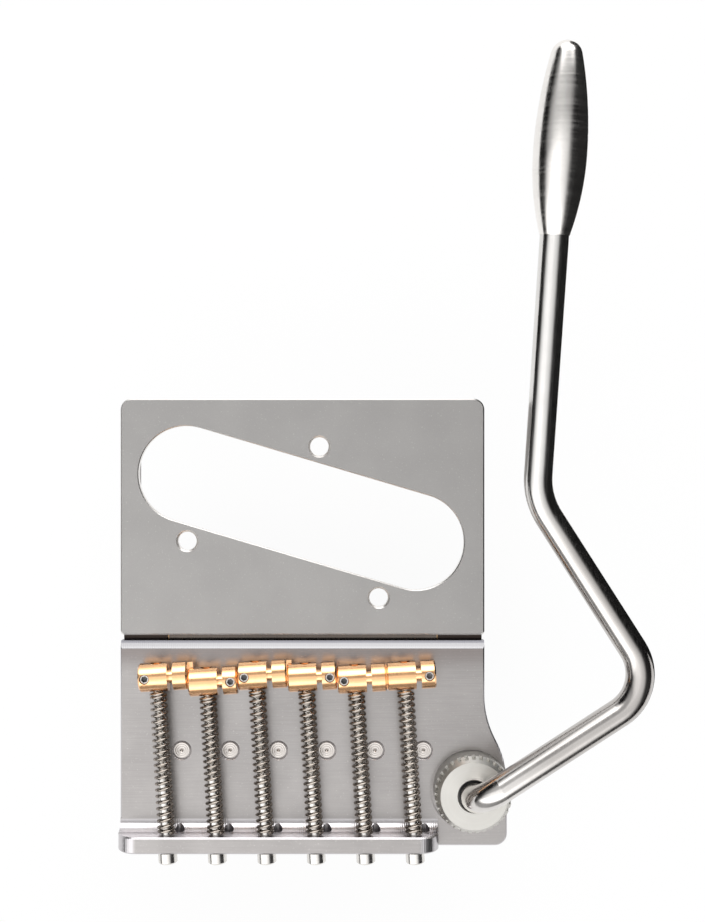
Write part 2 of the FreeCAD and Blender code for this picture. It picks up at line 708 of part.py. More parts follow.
def bridge_outline():
    """Plan of the moving plate: straight left side, and a wing that curves out at the right."""
    left = -BRIDGE_WIDTH / 2
    right = BRIDGE_WIDTH / 2
    wing = right + WING_REACH
    front = -BRIDGE_SETBACK
    rear = LIP_REAR
    start = V(right, front - WING_CURVE_START, 0)
    end = V(wing, start.y - WING_CURVE_LENGTH, 0)
    middle = (start + end) * 0.5
    corner = WING_CORNER_RADIUS
    diagonal = corner * (1 - math.sqrt(0.5))
    return [
        line(V(left, front, 0), V(right, front, 0)),
        line(V(right, front, 0), start),
        arc_from(start, Y_AXIS * -1, middle),
        arc_from(end, Y_AXIS, middle),
        line(end, V(wing, rear + corner, 0)),
        arc(V(wing, rear + corner, 0), V(wing - diagonal, rear + diagonal, 0), V(wing - corner, rear, 0)),
        line(V(wing - corner, rear, 0), V(left, rear, 0)),
        line(V(left, rear, 0), V(left, front, 0)),
    ]


def bridge_lip():
    """Rear lip with rounded ends and broken edges, standing through the plate's thickness."""
    left = -BRIDGE_WIDTH / 2
    radius = LIP_END_RADIUS
    shoulder = LIP_TOP - radius
    diagonal = radius * (1 - math.sqrt(0.5))
    brow = LIP_TOP - diagonal
    y = LIP_REAR
    top_left = V(left + radius, y, LIP_TOP)
    top_right = V(LIP_END - radius, y, LIP_TOP)
    edges = [
        line(V(left, y, UNDERSIDE), V(left, y, shoulder)),
        arc(V(left, y, shoulder), V(left + diagonal, y, brow), top_left),
        line(top_left, top_right),
        arc(top_right, V(LIP_END - diagonal, y, brow), V(LIP_END, y, shoulder)),
        line(V(LIP_END, y, shoulder), V(LIP_END, y, UNDERSIDE)),
        line(V(LIP_END, y, UNDERSIDE), V(left, y, UNDERSIDE)),
    ]
    solid = prism(edges, Y_AXIS * LIP_THICKNESS)
    broken = []
    for edge in solid.Edges:
        in_face = edge.BoundBox.YLength < LIP_THICKNESS / 2
        if in_face and edge.BoundBox.ZMax > FLOOR:
            broken.append(edge)
    return solid.makeChamfer(EDGE_CHAMFER, broken)


def lip_foot():
    """Concave foot between the floor and the lip's inner wall."""
    radius = LIP_FOOT_RADIUS
    x = -BRIDGE_WIDTH / 2
    sunk_y = LIP_INNER - LIP_THICKNESS / 2
    sunk_z = FLOOR - BRIDGE_THICKNESS / 2
    toe = LIP_INNER + radius
    heel = FLOOR + radius
    diagonal = radius * (1 - math.sqrt(0.5))
    edges = [
        line(V(x, sunk_y, sunk_z), V(x, toe, sunk_z)),
        line(V(x, toe, sunk_z), V(x, toe, FLOOR)),
        arc(V(x, toe, FLOOR), V(x, LIP_INNER + diagonal, FLOOR + diagonal), V(x, LIP_INNER, heel)),
        line(V(x, LIP_INNER, heel), V(x, sunk_y, heel)),
        line(V(x, sunk_y, heel), V(x, sunk_y, sunk_z)),
    ]
    return prism(edges, X_AXIS * (LIP_END - x))


def ear(side):
    """Ear that hangs from the moving plate's front corner and holds the pivot pin."""
    inner, outer = sorted((side * EAR_INNER, side * EAR_OUTER))
    root = box(inner, outer, -EAR_ROOT, 0, EAR_BOTTOM, UNDERSIDE)
    return root.fuse(rod(KNUCKLE_RADIUS, V(inner, 0, PIVOT_HEIGHT), V(outer, 0, PIVOT_HEIGHT)))


def front_bevel():
    """Tool for the moving plate's front bevel."""
    reach = BRIDGE_WIDTH / 2 + OVERRUN
    slope = BEVEL_DROP / BEVEL_RUN
    low = V(-reach, -BRIDGE_SETBACK + OVERRUN, FLOOR - BEVEL_DROP - OVERRUN * slope)
    high = V(-reach, -BRIDGE_SETBACK - BEVEL_RUN - OVERRUN / slope, FLOOR + OVERRUN)
    corner = V(-reach, low.y, high.z)
    return prism([line(low, high), line(high, corner), line(corner, low)], X_AXIS * (2 * reach))


def bridge_plate():
    """Moving plate with bevel, lip, ears, wing pocket and every hole."""
    outline = Part.Face(Part.Wire(Part.__sortEdges__(bridge_outline())))
    outline.translate(V(0, 0, UNDERSIDE))
    solid = outline.extrude(Z_AXIS * BRIDGE_THICKNESS)
    solid = solid.makeChamfer(EDGE_CHAMFER, top_edges(solid, FLOOR)).cut(front_bevel())
    cove_radius = KNUCKLE_RADIUS + KNUCKLE_COVE_GAP
    cove = rod(cove_radius, V(-EAR_INNER, 0, PIVOT_HEIGHT), V(EAR_INNER, 0, PIVOT_HEIGHT))
    solid = solid.cut(cove).fuse([bridge_lip(), lip_foot(), ear(-1), ear(1)]).removeSplitter()
    reach = EAR_OUTER + OVERRUN
    pin_radius = PIN_RADIUS + PIN_HOLE_CLEARANCE
    tools = [rod(pin_radius, V(-reach, 0, PIVOT_HEIGHT), V(reach, 0, PIVOT_HEIGHT))]
    for tip in grub_places():
        far_end = V(tip.x, -EAR_ROOT - OVERRUN, tip.z)
        tools.append(rod(GRUB_DIAMETER / 2, far_end, V(tip.x, 0, tip.z)))
    for x in pin_places():
        tools += block_pin_seat(x)
    level = FLOOR + STRING_HOLE_HEIGHT
    hole_end = LIP_INNER + LIP_FOOT_RADIUS + OVERRUN
    way = rod(SCREW_HOLE_RADIUS, V(0, -OVERRUN, 0), V(0, LIP_THICKNESS + LIP_FOOT_RADIUS, 0))
    for index, x in enumerate(string_places()):
        string_way = rod(STRING_HOLE_DIAMETER / 2, V(x, LIP_REAR - OVERRUN, level), V(x, hole_end, level))
        tools += [string_way, in_unit(way, index)]
    socket_way = SOCKET_RADIUS + SOCKET_HOLE_CLEARANCE
    tools.append(post(socket_way, SOCKET_X, SOCKET_Y, UNDERSIDE - OVERRUN, FLOOR))
    tools.append(post(POCKET_DIAMETER / 2, SOCKET_X, SOCKET_Y, POCKET_FLOOR, LIP_TOP + OVERRUN))
    return solid.cut(tools).removeSplitter()


def block_pin_seat(x):
    """Tools for one block pin's hole: shank, sunk head and the broken edge round it."""
    shank = BLOCK_PIN_DIAMETER / 2 + BLOCK_PIN_CLEARANCE
    sink = BLOCK_PIN_SINK_DIAMETER / 2
    mouth = sink + BLOCK_PIN_SINK_CHAMFER + OVERRUN
    return [
        post(shank, x, BLOCK_PIN_Y, UNDERSIDE - OVERRUN, FLOOR),
        post(sink, x, BLOCK_PIN_Y, BLOCK_PIN_HEAD_SEAT, FLOOR + OVERRUN),
        cone(sink, mouth, x, BLOCK_PIN_Y, FLOOR - BLOCK_PIN_SINK_CHAMFER, FLOOR + OVERRUN),
    ]


def block_pins():
    """Six headed pins, flush with the floor, that carry the sustain block."""
    pins = []
    for x in pin_places():
        head = post(BLOCK_PIN_HEAD_DIAMETER / 2, x, BLOCK_PIN_Y, BLOCK_PIN_HEAD_SEAT, FLOOR)
        shank = post(BLOCK_PIN_DIAMETER / 2, x, BLOCK_PIN_Y, BLOCK_PIN_BOTTOM, BLOCK_PIN_HEAD_SEAT)
        dimple = cone(0, BLOCK_PIN_DIMPLE_DIAMETER / 2, x, BLOCK_PIN_Y, FLOOR - BLOCK_PIN_DIMPLE_DEPTH, FLOOR)
        pins.append(head.fuse(shank).cut(dimple))
    return Part.makeCompound(pins)


def sustain_block():
    """Bar below the guitar's top, hung on the pins, with pockets for the return springs."""
    half = BLOCK_WIDTH / 2
    y0 = BLOCK_PIN_Y - BLOCK_DEPTH / 2
    solid = box(-half, half, y0, y0 + BLOCK_DEPTH, BLOCK_TOP - BLOCK_HEIGHT, BLOCK_TOP)
    solid = solid.makeChamfer(BLOCK_CHAMFER, solid.Edges)
    tools = []
    for x in pin_places():
        radius = BLOCK_PIN_DIAMETER / 2 + BLOCK_PIN_CLEARANCE
        tools.append(post(radius, x, BLOCK_PIN_Y, BLOCK_PIN_BOTTOM, BLOCK_TOP + OVERRUN))
    for x in return_spring_places():
        floor = BLOCK_TOP - RETURN_POCKET_DEPTH_BELOW
        tools.append(post(RETURN_POCKET_RADIUS, x, BLOCK_PIN_Y, floor, BLOCK_TOP + OVERRUN))
    return solid.cut(tools)


def saddle(index):
    """Brass barrel with its string groove and half lap, bored for both of its screws."""
    radius = SADDLE_RADIUS
    chamfer = SADDLE_CHAMFER
    groove_low = GROOVE_OFFSET - GROOVE_WIDTH / 2
    groove_high = GROOVE_OFFSET + GROOVE_WIDTH / 2
    neck = GROOVE_NECK_DIAMETER / 2
    profile = [
        V(-SADDLE_LEFT, 0, 0),
        V(-SADDLE_LEFT, 0, radius - chamfer),
        V(-SADDLE_LEFT + chamfer, 0, radius),
        V(groove_low, 0, radius),
        V(groove_low, 0, neck),
        V(groove_high, 0, neck),
        V(groove_high, 0, radius),
        V(SADDLE_RIGHT - chamfer, 0, radius),
        V(SADDLE_RIGHT, 0, radius - chamfer),
        V(SADDLE_RIGHT, 0, 0),
        V(-SADDLE_LEFT, 0, 0),
    ]
    solid = Part.Face(Part.makePolygon(profile)).revolve(V(0, 0, 0), X_AXIS, 360)
    half_gap = LAP_GAP / 2
    past = radius + OVERRUN
    if index % 2 == 0:
        root = SADDLE_RIGHT - chamfer
        end = SADDLE_RIGHT + LAP_LENGTH
        tongue = rod(radius - chamfer, V(root, 0, 0), V(end, 0, 0))
        upper = box(root - OVERRUN, end + OVERRUN, -past, past, -half_gap, past)
        solid = solid.fuse(tongue.cut(upper))
    else:
        lap_end = -SADDLE_LEFT + LAP_LENGTH + LAP_GAP
        solid = solid.cut(box(-SADDLE_LEFT - OVERRUN, lap_end, -past, past, -past, half_gap))
    screw_way = rod(SCREW_HOLE_RADIUS, V(0, -past, 0), V(0, past, 0))
    height_radius = HEIGHT_SCREW_DIAMETER / 2 + HEIGHT_SCREW_CLEARANCE
    height_way = post(height_radius, height_screw_x(index), 0, -past, past)
    solid = solid.cut([screw_way, height_way]).removeSplitter()
    solid.translate(V(0, saddle_distance(index), 0))
    return in_unit(solid, index)


def height_screw_x(index):
    """Place of a saddle's height screw along the barrel: outer end of each lapped pair."""
    if index % 2 == 0:
        return -SADDLE_LEFT + HEIGHT_SCREW_FROM_END
    return SADDLE_RIGHT - HEIGHT_SCREW_FROM_END


def height_screw(index):
    """Set screw that stands on the plate's floor."""
    x = height_screw_x(index)
    top = SADDLE_RADIUS - HEIGHT_SCREW_SUNK
    deep = top - HEIGHT_SCREW_SOCKET_DEPTH
    solid = post(HEIGHT_SCREW_DIAMETER / 2, x, 0, -SCREW_HEIGHT, top)
    solid = solid.cut(hexagon(HEIGHT_SCREW_SOCKET_ACROSS, V(x, 0, deep), V(x, 0, top + OVERRUN)))
    solid.translate(V(0, saddle_distance(index), 0))
    return in_unit(solid, index)


def intonation_screw(index):
    """Socket head screw through the lip into the saddle."""
    end = saddle_distance(index) + SCREW_PAST_SADDLE_CENTRE
    seat = -SCREW_HEAD_GAP
    back = seat - SCREW_HEAD_LENGTH
    head = rod(SCREW_HEAD_DIAMETER / 2, V(0, back, 0), V(0, seat, 0))
    rims = [e for e in head.Edges if e.BoundBox.YMax < back + SCREW_HEAD_CHAMFER]
    head = head.makeChamfer(SCREW_HEAD_CHAMFER, rims)
    shank = rod(SCREW_DIAMETER / 2, V(0, seat, 0), V(0, end, 0))
    deep = back + SCREW_SOCKET_DEPTH
    socket = hexagon(SCREW_SOCKET_ACROSS, V(0, back - OVERRUN, 0), V(0, deep, 0))
    return in_unit(head.fuse(shank).cut(socket).removeSplitter(), index)


def intonation_spring(index):
    """Coil spring round the screw, between the lip and the saddle."""
    skew = math.radians(UNIT_SKEW)
    radius = SPRING_MEAN_DIAMETER / 2
    start = (LIP_THICKNESS + radius * math.sin(skew)) / math.cos(skew) + SPRING_END_GAP
    end = saddle_distance(index) - SADDLE_RADIUS - SPRING_END_GAP
    name = f"intonation spring {index + 1}"
    spring = coil(name, radius, SPRING_WIRE, SPRING_TURNS, SPRING_BEND, end - start)
    spring.rotate(V(0, 0, 0), X_AXIS, -90)
    spring.translate(V(0, start, 0))
    return in_unit(spring, index)


def arm_socket():
    """Flanged socket through the wing, with a lip at its foot that the friction sleeve stands on."""
    body = post(SOCKET_RADIUS, SOCKET_X, SOCKET_Y, SOCKET_BOTTOM, SOCKET_TOP)
    flange = post(SOCKET_FLANGE_DIAMETER / 2, SOCKET_X, SOCKET_Y, POCKET_FLOOR, SOCKET_FLANGE_TOP)
    ledge = SOCKET_BOTTOM + SOCKET_LIP_HEIGHT
    bore = post(SOCKET_BORE, SOCKET_X, SOCKET_Y, ledge, SOCKET_TOP + OVERRUN)
    way_radius = SLEEVE_BORE + SOCKET_LIP_CLEARANCE
    way = post(way_radius, SOCKET_X, SOCKET_Y, SOCKET_BOTTOM - OVERRUN, ledge + OVERRUN)
    return body.fuse(flange).cut([bore, way]).removeSplitter()


def arm_friction_sleeve():
    """Plain sleeve between the socket and the arm's shank."""
    ledge = SOCKET_BOTTOM + SOCKET_LIP_HEIGHT
    return tube(SLEEVE_RADIUS, SLEEVE_BORE, SOCKET_X, SOCKET_Y, ledge, SOCKET_TOP)


def socket_nut():
    """Thin nut under the wing."""
    bottom = UNDERSIDE - NUT_THICKNESS
    body = hexagon(NUT_ACROSS, V(SOCKET_X, SOCKET_Y, bottom), V(SOCKET_X, SOCKET_Y, UNDERSIDE))
    radius = SOCKET_RADIUS + NUT_CLEARANCE
    return body.cut(post(radius, SOCKET_X, SOCKET_Y, bottom - OVERRUN, UNDERSIDE + OVERRUN))


def knurled_collar():
    """Thumb collar over the socket: conical shoulder, slotted rim and a hole for the arm."""
    radius = COLLAR_DIAMETER / 2
    shoulder = COLLAR_TOP - COLLAR_SHOULDER_DROP
    bottom = POCKET_FLOOR + COLLAR_GAP
    solid = post(radius, SOCKET_X, SOCKET_Y, bottom, shoulder)
    solid = solid.fuse(cone(radius, COLLAR_TOP_DIAMETER / 2, SOCKET_X, SOCKET_Y, shoulder, COLLAR_TOP))
    hole = chamfered_hole(
        COLLAR_HOLE_DIAMETER / 2, COLLAR_HOLE_CHAMFER, SOCKET_X, SOCKET_Y, COLLAR_CEILING, COLLAR_TOP
    )
    bore_radius = SOCKET_RADIUS + COLLAR_RUNNING_CLEARANCE
    bore = post(bore_radius, SOCKET_X, SOCKET_Y, bottom - OVERRUN, COLLAR_CEILING)
    room_radius = SOCKET_FLANGE_DIAMETER / 2 + COLLAR_FLANGE_ROOM
    room = post(room_radius, SOCKET_X, SOCKET_Y, bottom - OVERRUN, SOCKET_FLANGE_TOP + COLLAR_GAP)
    tools = [hole, bore, room]
    half = COLLAR_SLOT_WIDTH / 2
    depth = radius - COLLAR_SLOT_DEPTH
    slot_floor = shoulder - COLLAR_SLOT_RUN
    for i in range(COLLAR_SLOTS):
        slot = box(depth, radius + OVERRUN, -half, half, slot_floor, COLLAR_TOP + OVERRUN)
        slot.rotate(V(0, 0, 0), Z_AXIS, 360 * i / COLLAR_SLOTS)
        slot.translate(V(SOCKET_X, SOCKET_Y, 0))
        tools.append(slot)
    return solid.cut(tools).removeSplitter()


def arm_corners():
    """Corners of the arm's centre line, from the socket to the tip's base; only the last run climbs."""
    corners = [V(SOCKET_X, SOCKET_Y, ARM_LEVEL)]
    for reach, rise, lift in (
        (ARM_LOWER_REACH, ARM_LOWER_RISE, 0),
        (-ARM_MIDDLE_REACH, ARM_MIDDLE_RISE, 0),
        (ARM_UPPER_REACH, ARM_UPPER_RISE, ARM_UPPER_LIFT),
    ):
        corners.append(corners[-1] + V(reach, rise, lift))
    return corners


def bend_edges(points, radii):
    """Straight runs joined by tangent arcs through a list of corners."""
    edges = []
    start = points[0]
    for before, corner, after, radius in zip(points, points[1:], points[2:], radii):
        way_in = (corner - before).normalize()
        way_out = (after - corner).normalize()
        setback = radius * math.tan(way_in.getAngle(way_out) / 2)
        arc_start = corner - way_in * setback
        arc_end = corner + way_out * setback
        edges.append(line(start, arc_start))
        edges.append(arc_from(arc_start, way_in, arc_end))
        start = arc_end
    edges.append(line(start, points[-1]))
    return edges


def tip_way():
    """Direction of the arm's last run, along which the tip lies."""
    corners = arm_corners()
    return (corners[-1] - corners[-2]).normalize()


def shank_top():
    """Height where the arm's shank grows to the full rod."""
    return COLLAR_TOP - COLLAR_HOLE_CHAMFER


def arm_rod():
    """Bent rod: shank in the socket, elbow, two bends and the stud for the tip."""
    corners = arm_corners()
    foot = V(SOCKET_X, SOCKET_Y, shank_top())
    radii = (ARM_ELBOW_RADIUS, ARM_LOWER_BEND_RADIUS, ARM_UPPER_BEND_RADIUS)
    solid = pipe(bend_edges([foot] + corners, radii), ARM_RADIUS)
    taper_low = shank_top() - ARM_SHANK_TAPER
    taper = cone(SHANK_RADIUS, ARM_RADIUS, SOCKET_X, SOCKET_Y, taper_low, shank_top())
    shank = post(SHANK_RADIUS, SOCKET_X, SOCKET_Y, ARM_SHANK_BOTTOM, taper_low)
    stud = rod(TIP_STUD_DIAMETER / 2, corners[-1], corners[-1] + tip_way() * TIP_STUD_LENGTH)
    low, high = ring_span()
    low -= RING_GROOVE_PLAY
    high += RING_GROOVE_PLAY
    groove = tube(SHANK_RADIUS + OVERRUN, RING_GROOVE_DIAMETER / 2, SOCKET_X, SOCKET_Y, low, high)
    return solid.fuse([taper, shank, stud]).cut(groove).removeSplitter()


def ring_span():
    """Lowest and highest point of the retaining ring."""
    low = ARM_SHANK_BOTTOM + RING_ABOVE_SHANK_END
    return low, low + RING_THICKNESS


def arm_retaining_ring():
    """Split ring in the shank's groove, below the socket."""
    low, high = ring_span()
    inner = RING_GROOVE_DIAMETER / 2 + RING_GROOVE_PLAY
    ring = tube(RING_OUTER_DIAMETER / 2, inner, SOCKET_X, SOCKET_Y, low, high)
    reach = RING_OUTER_DIAMETER
    spread = reach * math.tan(math.radians(RING_GAP_ANGLE / 2))
    bottom = low - OVERRUN
    corners = [V(0, 0, bottom), V(reach, -spread, bottom), V(reach, spread, bottom)]
    wedge = polygon(corners).extrude(Z_AXIS * (RING_THICKNESS + 2 * OVERRUN))
    wedge.translate(V(SOCKET_X, SOCKET_Y, 0))
    return ring.cut(wedge)


def arm_tip():
    """Spindle shaped metal tip, turned about +Z from its base and then laid along the arm."""
    base = TIP_BASE_DIAMETER / 2
    widest = TIP_DIAMETER / 2
    nose = TIP_NOSE_RADIUS
    rear_radius = (TIP_WIDEST_AT**2 + (widest - base) ** 2) / (2 * (widest - base))
    reach = TIP_LENGTH - nose - TIP_WIDEST_AT
    front_radius = (reach**2 + widest**2 - nose**2) / (2 * (widest - nose))
    wide = V(widest, 0, TIP_WIDEST_AT)
    front_centre = V(widest - front_radius, 0, TIP_WIDEST_AT)
    nose_centre = V(0, 0, TIP_LENGTH - nose)
    touch_way = (nose_centre - front_centre).normalize()
    touch = nose_centre + touch_way * nose
    end = V(0, 0, TIP_LENGTH)
    nose_middle = nose_centre + (touch_way + Z_AXIS).normalize() * nose
    front_middle = front_centre + (touch_way + X_AXIS).normalize() * front_radius
    rear_centre = V(widest - rear_radius, 0, TIP_WIDEST_AT)
    start = V(base, 0, 0)
    rear_way = (start - rear_centre).normalize()
    rear_middle = rear_centre + (rear_way + X_AXIS).normalize() * rear_radius
    edges = [
        line(V(0, 0, 0), start),
        arc(start, rear_middle, wide),
        arc(wide, front_middle, touch),
        arc(touch, nose_middle, end),
        line(end, V(0, 0, 0)),
    ]
    solid = Part.Face(Part.Wire(edges)).revolve(V(0, 0, 0), Z_AXIS, 360)
    hole_radius = TIP_STUD_DIAMETER / 2 + TIP_STUD_CLEARANCE
    solid = solid.cut(post(hole_radius, 0, 0, -OVERRUN, TIP_STUD_LENGTH + TIP_STUD_CLEARANCE))
    solid.Placement = FreeCAD.Placement(arm_corners()[-1], FreeCAD.Rotation(Z_AXIS, tip_way()))
    return solid


def pieces():
    """Every piece by name."""
    made = {
        "base_frame": base_frame(),
        "front_plate": front_plate(),
        "front_plate_screws": front_plate_screws(),
        "pivot_bush_left": pivot_bush(-1),
        "pivot_bush_right": pivot_bush(1),
        "pivot_pin": pivot_pin(),
        "pivot_grub_screws": pivot_grub_screws(),
        "bridge_plate": bridge_plate(),
        "block_pins": block_pins(),
        "sustain_block": sustain_block(),
        "arm_socket": arm_socket(),
        "arm_friction_sleeve": arm_friction_sleeve(),
        "socket_nut": socket_nut(),
        "knurled_collar": knurled_collar(),
        "arm_rod": arm_rod(),
        "arm_retaining_ring": arm_retaining_ring(),
        "arm_tip": arm_tip(),
    }
    for side, place in zip(("left", "right"), pad_places()):
        made[f"rest_pad_{side}"] = rest_pad(place)
    for number, x in enumerate(return_spring_places(), start=1):
        made[f"return_spring_{number}"] = return_spring(x)
    for index in range(STRING_COUNT):
        number = index + 1
        made[f"saddle_{number}"] = saddle(index)
        made[f"height_screw_{number}"] = height_screw(index)
        made[f"intonation_screw_{number}"] = intonation_screw(index)
        made[f"intonation_spring_{number}"] = intonation_spring(index)
    return made


def main():
    """Build every piece and write its file."""
    os.makedirs("parts", exist_ok=True)
    for name, shape in pieces().items():
        if not shape.isValid():
            print(f"{name} isn't valid")
        shape.exportStep(f"parts/{name}.step")


main()
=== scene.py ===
"""Looks of an electric guitar's tremolo bridge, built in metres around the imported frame.

The plates, saddles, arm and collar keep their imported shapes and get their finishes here. Springs,
screws, pins and rest pads are made again with their real turns, threads, rings and crowns.
"""

import json
import logging
import math
from dataclasses import dataclass, replace
from enum import Enum
from functools import partial
from typing import Any, Callable, ClassVar, Optional, Sequence

import bmesh
import bpy
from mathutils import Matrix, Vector


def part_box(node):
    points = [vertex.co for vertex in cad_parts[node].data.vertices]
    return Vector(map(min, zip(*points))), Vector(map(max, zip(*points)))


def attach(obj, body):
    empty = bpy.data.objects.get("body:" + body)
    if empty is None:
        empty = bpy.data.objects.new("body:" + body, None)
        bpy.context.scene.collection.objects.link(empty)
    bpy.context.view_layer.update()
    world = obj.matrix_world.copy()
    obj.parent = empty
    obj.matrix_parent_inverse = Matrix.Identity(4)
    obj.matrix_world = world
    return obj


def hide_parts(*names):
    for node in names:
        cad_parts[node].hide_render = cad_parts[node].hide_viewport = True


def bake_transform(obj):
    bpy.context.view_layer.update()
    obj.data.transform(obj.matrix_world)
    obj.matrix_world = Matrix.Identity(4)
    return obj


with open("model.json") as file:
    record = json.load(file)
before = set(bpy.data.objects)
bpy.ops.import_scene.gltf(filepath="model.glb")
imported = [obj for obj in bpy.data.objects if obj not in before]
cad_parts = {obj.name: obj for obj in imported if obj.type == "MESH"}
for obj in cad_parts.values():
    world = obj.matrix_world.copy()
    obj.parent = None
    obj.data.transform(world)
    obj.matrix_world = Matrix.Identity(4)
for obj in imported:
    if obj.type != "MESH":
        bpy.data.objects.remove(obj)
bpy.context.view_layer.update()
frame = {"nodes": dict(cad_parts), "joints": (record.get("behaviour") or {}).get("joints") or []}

LOG = logging.getLogger("tremolo_bridge")
MM = 0.001
TURN = 2 * math.pi
QUARTER = TURN / 4
UP = Vector((0.0, 0.0, 1.0))
WHITE = (1.0, 1.0, 1.0)
DRAWN_OUT = 0.02
SADDLES = 6
RETURN_SPRINGS = 4

Colour = tuple[float, float, float]
Pair = tuple[float, float]
Ring = list[int]
Stops = Sequence[Pair]
Piece = bpy.types.Object
Socket = bpy.types.NodeSocket


class Grain(Enum):
    """How the marks of a finish lie. The value shrinks the pattern's place along X, Y and Z."""

    EVEN = (1.0, 1.0, 1.0)
    LINES_ALONG_X = (DRAWN_OUT, 1.0, 1.0)
    LINES_ALONG_Y = (1.0, DRAWN_OUT, 1.0)
    RINGS_ABOUT_X = (1.0, DRAWN_OUT, DRAWN_OUT)
    RINGS_ABOUT_Y = (DRAWN_OUT, 1.0, DRAWN_OUT)
    RINGS_ABOUT_Z = (DRAWN_OUT, DRAWN_OUT, 1.0)
    FACED = (1.0, 1.0, 0.0)


class Mixing(Enum):
    """How a second colour is laid over a first."""

    COVER = "MIX"
    MULTIPLY = "MULTIPLY"


class Inward(Enum):
    """Which way along its axis a socket goes into a screw."""

    FORWARD = 1.0
    BACK = -1.0


def solid(colour: Any) -> Any:
    """A colour with its fourth number; a socket stays as it is."""
    return (*colour, 1.0) if isinstance(colour, tuple) else colour


def shaded(colour: Colour, share: float) -> Colour:
    """A colour made lighter or darker by a share."""
    red, green, blue = (min(1.0, part * share) for part in colour)
    return red, green, blue


class NodeSheet:
    """A node tree that is filled one node at a time.

    The four MIX numbers are the Mix node's sockets for colours. A ramp's further stops start at
    RAMP_MIDDLE, between the two that it comes with.
    """

    MIX_SHARE: ClassVar[int] = 0
    MIX_FIRST: ClassVar[int] = 6
    MIX_SECOND: ClassVar[int] = 7
    MIX_RESULT: ClassVar[int] = 2
    RAMP_MIDDLE: ClassVar[float] = 0.5

    def __init__(self, tree: bpy.types.NodeTree) -> None:
        """Starts with an empty tree."""
        self.tree = tree
        tree.nodes.clear()

    def add(self, kind: str, inputs: dict[Any, Any], **options: Any) -> bpy.types.Node:
        """Adds a node.

        Args:
            kind: The node's type, without the words that all of them begin with.
            inputs: What goes into each input: a socket is linked, anything else is its value.
            options: The node's own settings.

        Returns:
            The new node.
        """
        node = self.tree.nodes.new("ShaderNode" + kind)
        for name, value in options.items():
            setattr(node, name, value)
        for key, value in inputs.items():
            if isinstance(value, Socket):
                self.tree.links.new(value, node.inputs[key])
            else:
                node.inputs[key].default_value = value
        return node

    def sum(self, operation: str, *values: Any) -> Socket:
        """Result of a Math node on the values."""
        return self.add("Math", dict(enumerate(values)), operation=operation).outputs[0]

    def noise(self, place: Socket, size: float, detail: float) -> Socket:
        """Noise whose blobs are about that size."""
        inputs = {"Vector": place, "Scale": 1 / size, "Detail": detail}
        return self.add("TexNoise", inputs).outputs["Fac"]

    def remap(self, value: Socket, source: Pair, target: Pair = (0.0, 1.0)) -> Socket:
        """Takes a value from one range to another with soft ends.

        Args:
            value: What is taken over.
            source: Its two ends.
            target: What these become.

        Returns:
            The result's socket.
        """
        inputs = dict(zip(("From Min", "From Max", "To Min", "To Max"), (*source, *target)))
        node = self.add("MapRange", {"Value": value, **inputs}, interpolation_type="SMOOTHSTEP")
        return node.outputs["Result"]

    def blend(self, share: Any, first: Any, second: Any, how: Mixing = Mixing.COVER) -> Socket:
        """Lays a colour over another.

        Args:
            share: How much of the second shows.
            first: The colour below.
            second: The colour above.
            how: The way in which they are mixed.

        Returns:
            The mixed colour's socket.
        """
        inputs = {
            self.MIX_SHARE: share,
            self.MIX_FIRST: solid(first),
            self.MIX_SECOND: solid(second),
        }
        node = self.add("Mix", inputs, data_type="RGBA", blend_type=how.value)
        return node.outputs[self.MIX_RESULT]

    def ramp(self, value: Socket, stops: Stops, reach: float) -> Socket:
        """Brightness along a scale.

        Args:
            value: Where on the scale, in radians.
            stops: Pairs of degrees and brightness.
            reach: Degrees at both ends of the scale.

        Returns:
            The brightness' socket.
        """
        limit = math.radians(reach)
        linear = self.add("MapRange", {"Value": value, "From Min": -limit, "From Max": limit})
        node = self.add("ValToRGB", {"Fac": linear.outputs["Result"]})
        elements = node.color_ramp.elements
        for _further in stops[len(elements):]:
            elements.new(self.RAMP_MIDDLE)
        for element, (degrees, level) in zip(elements, stops):
            element.position = (degrees + reach) / (2 * reach)
            element.color = (level, level, level, 1.0)
        return node.outputs["Color"]


def new_material(name: str) -> tuple[bpy.types.Material, NodeSheet]:
    """Makes a material.

    Args:
        name: Its name.

    Returns:
        The material and its nodes, still empty.
    """
    material = bpy.data.materials.new(name)
    material.use_nodes = True
    return material, NodeSheet(material.node_tree)


def put_in_scene(name: str, data: Any) -> Piece:
    """Makes an object.

    Args:
        name: Its name.
        data: Its mesh or camera.

    Returns:
        The object, linked to the scene.
    """
    made = bpy.data.objects.new(name, data)
    bpy.context.scene.collection.objects.link(made)
    return made


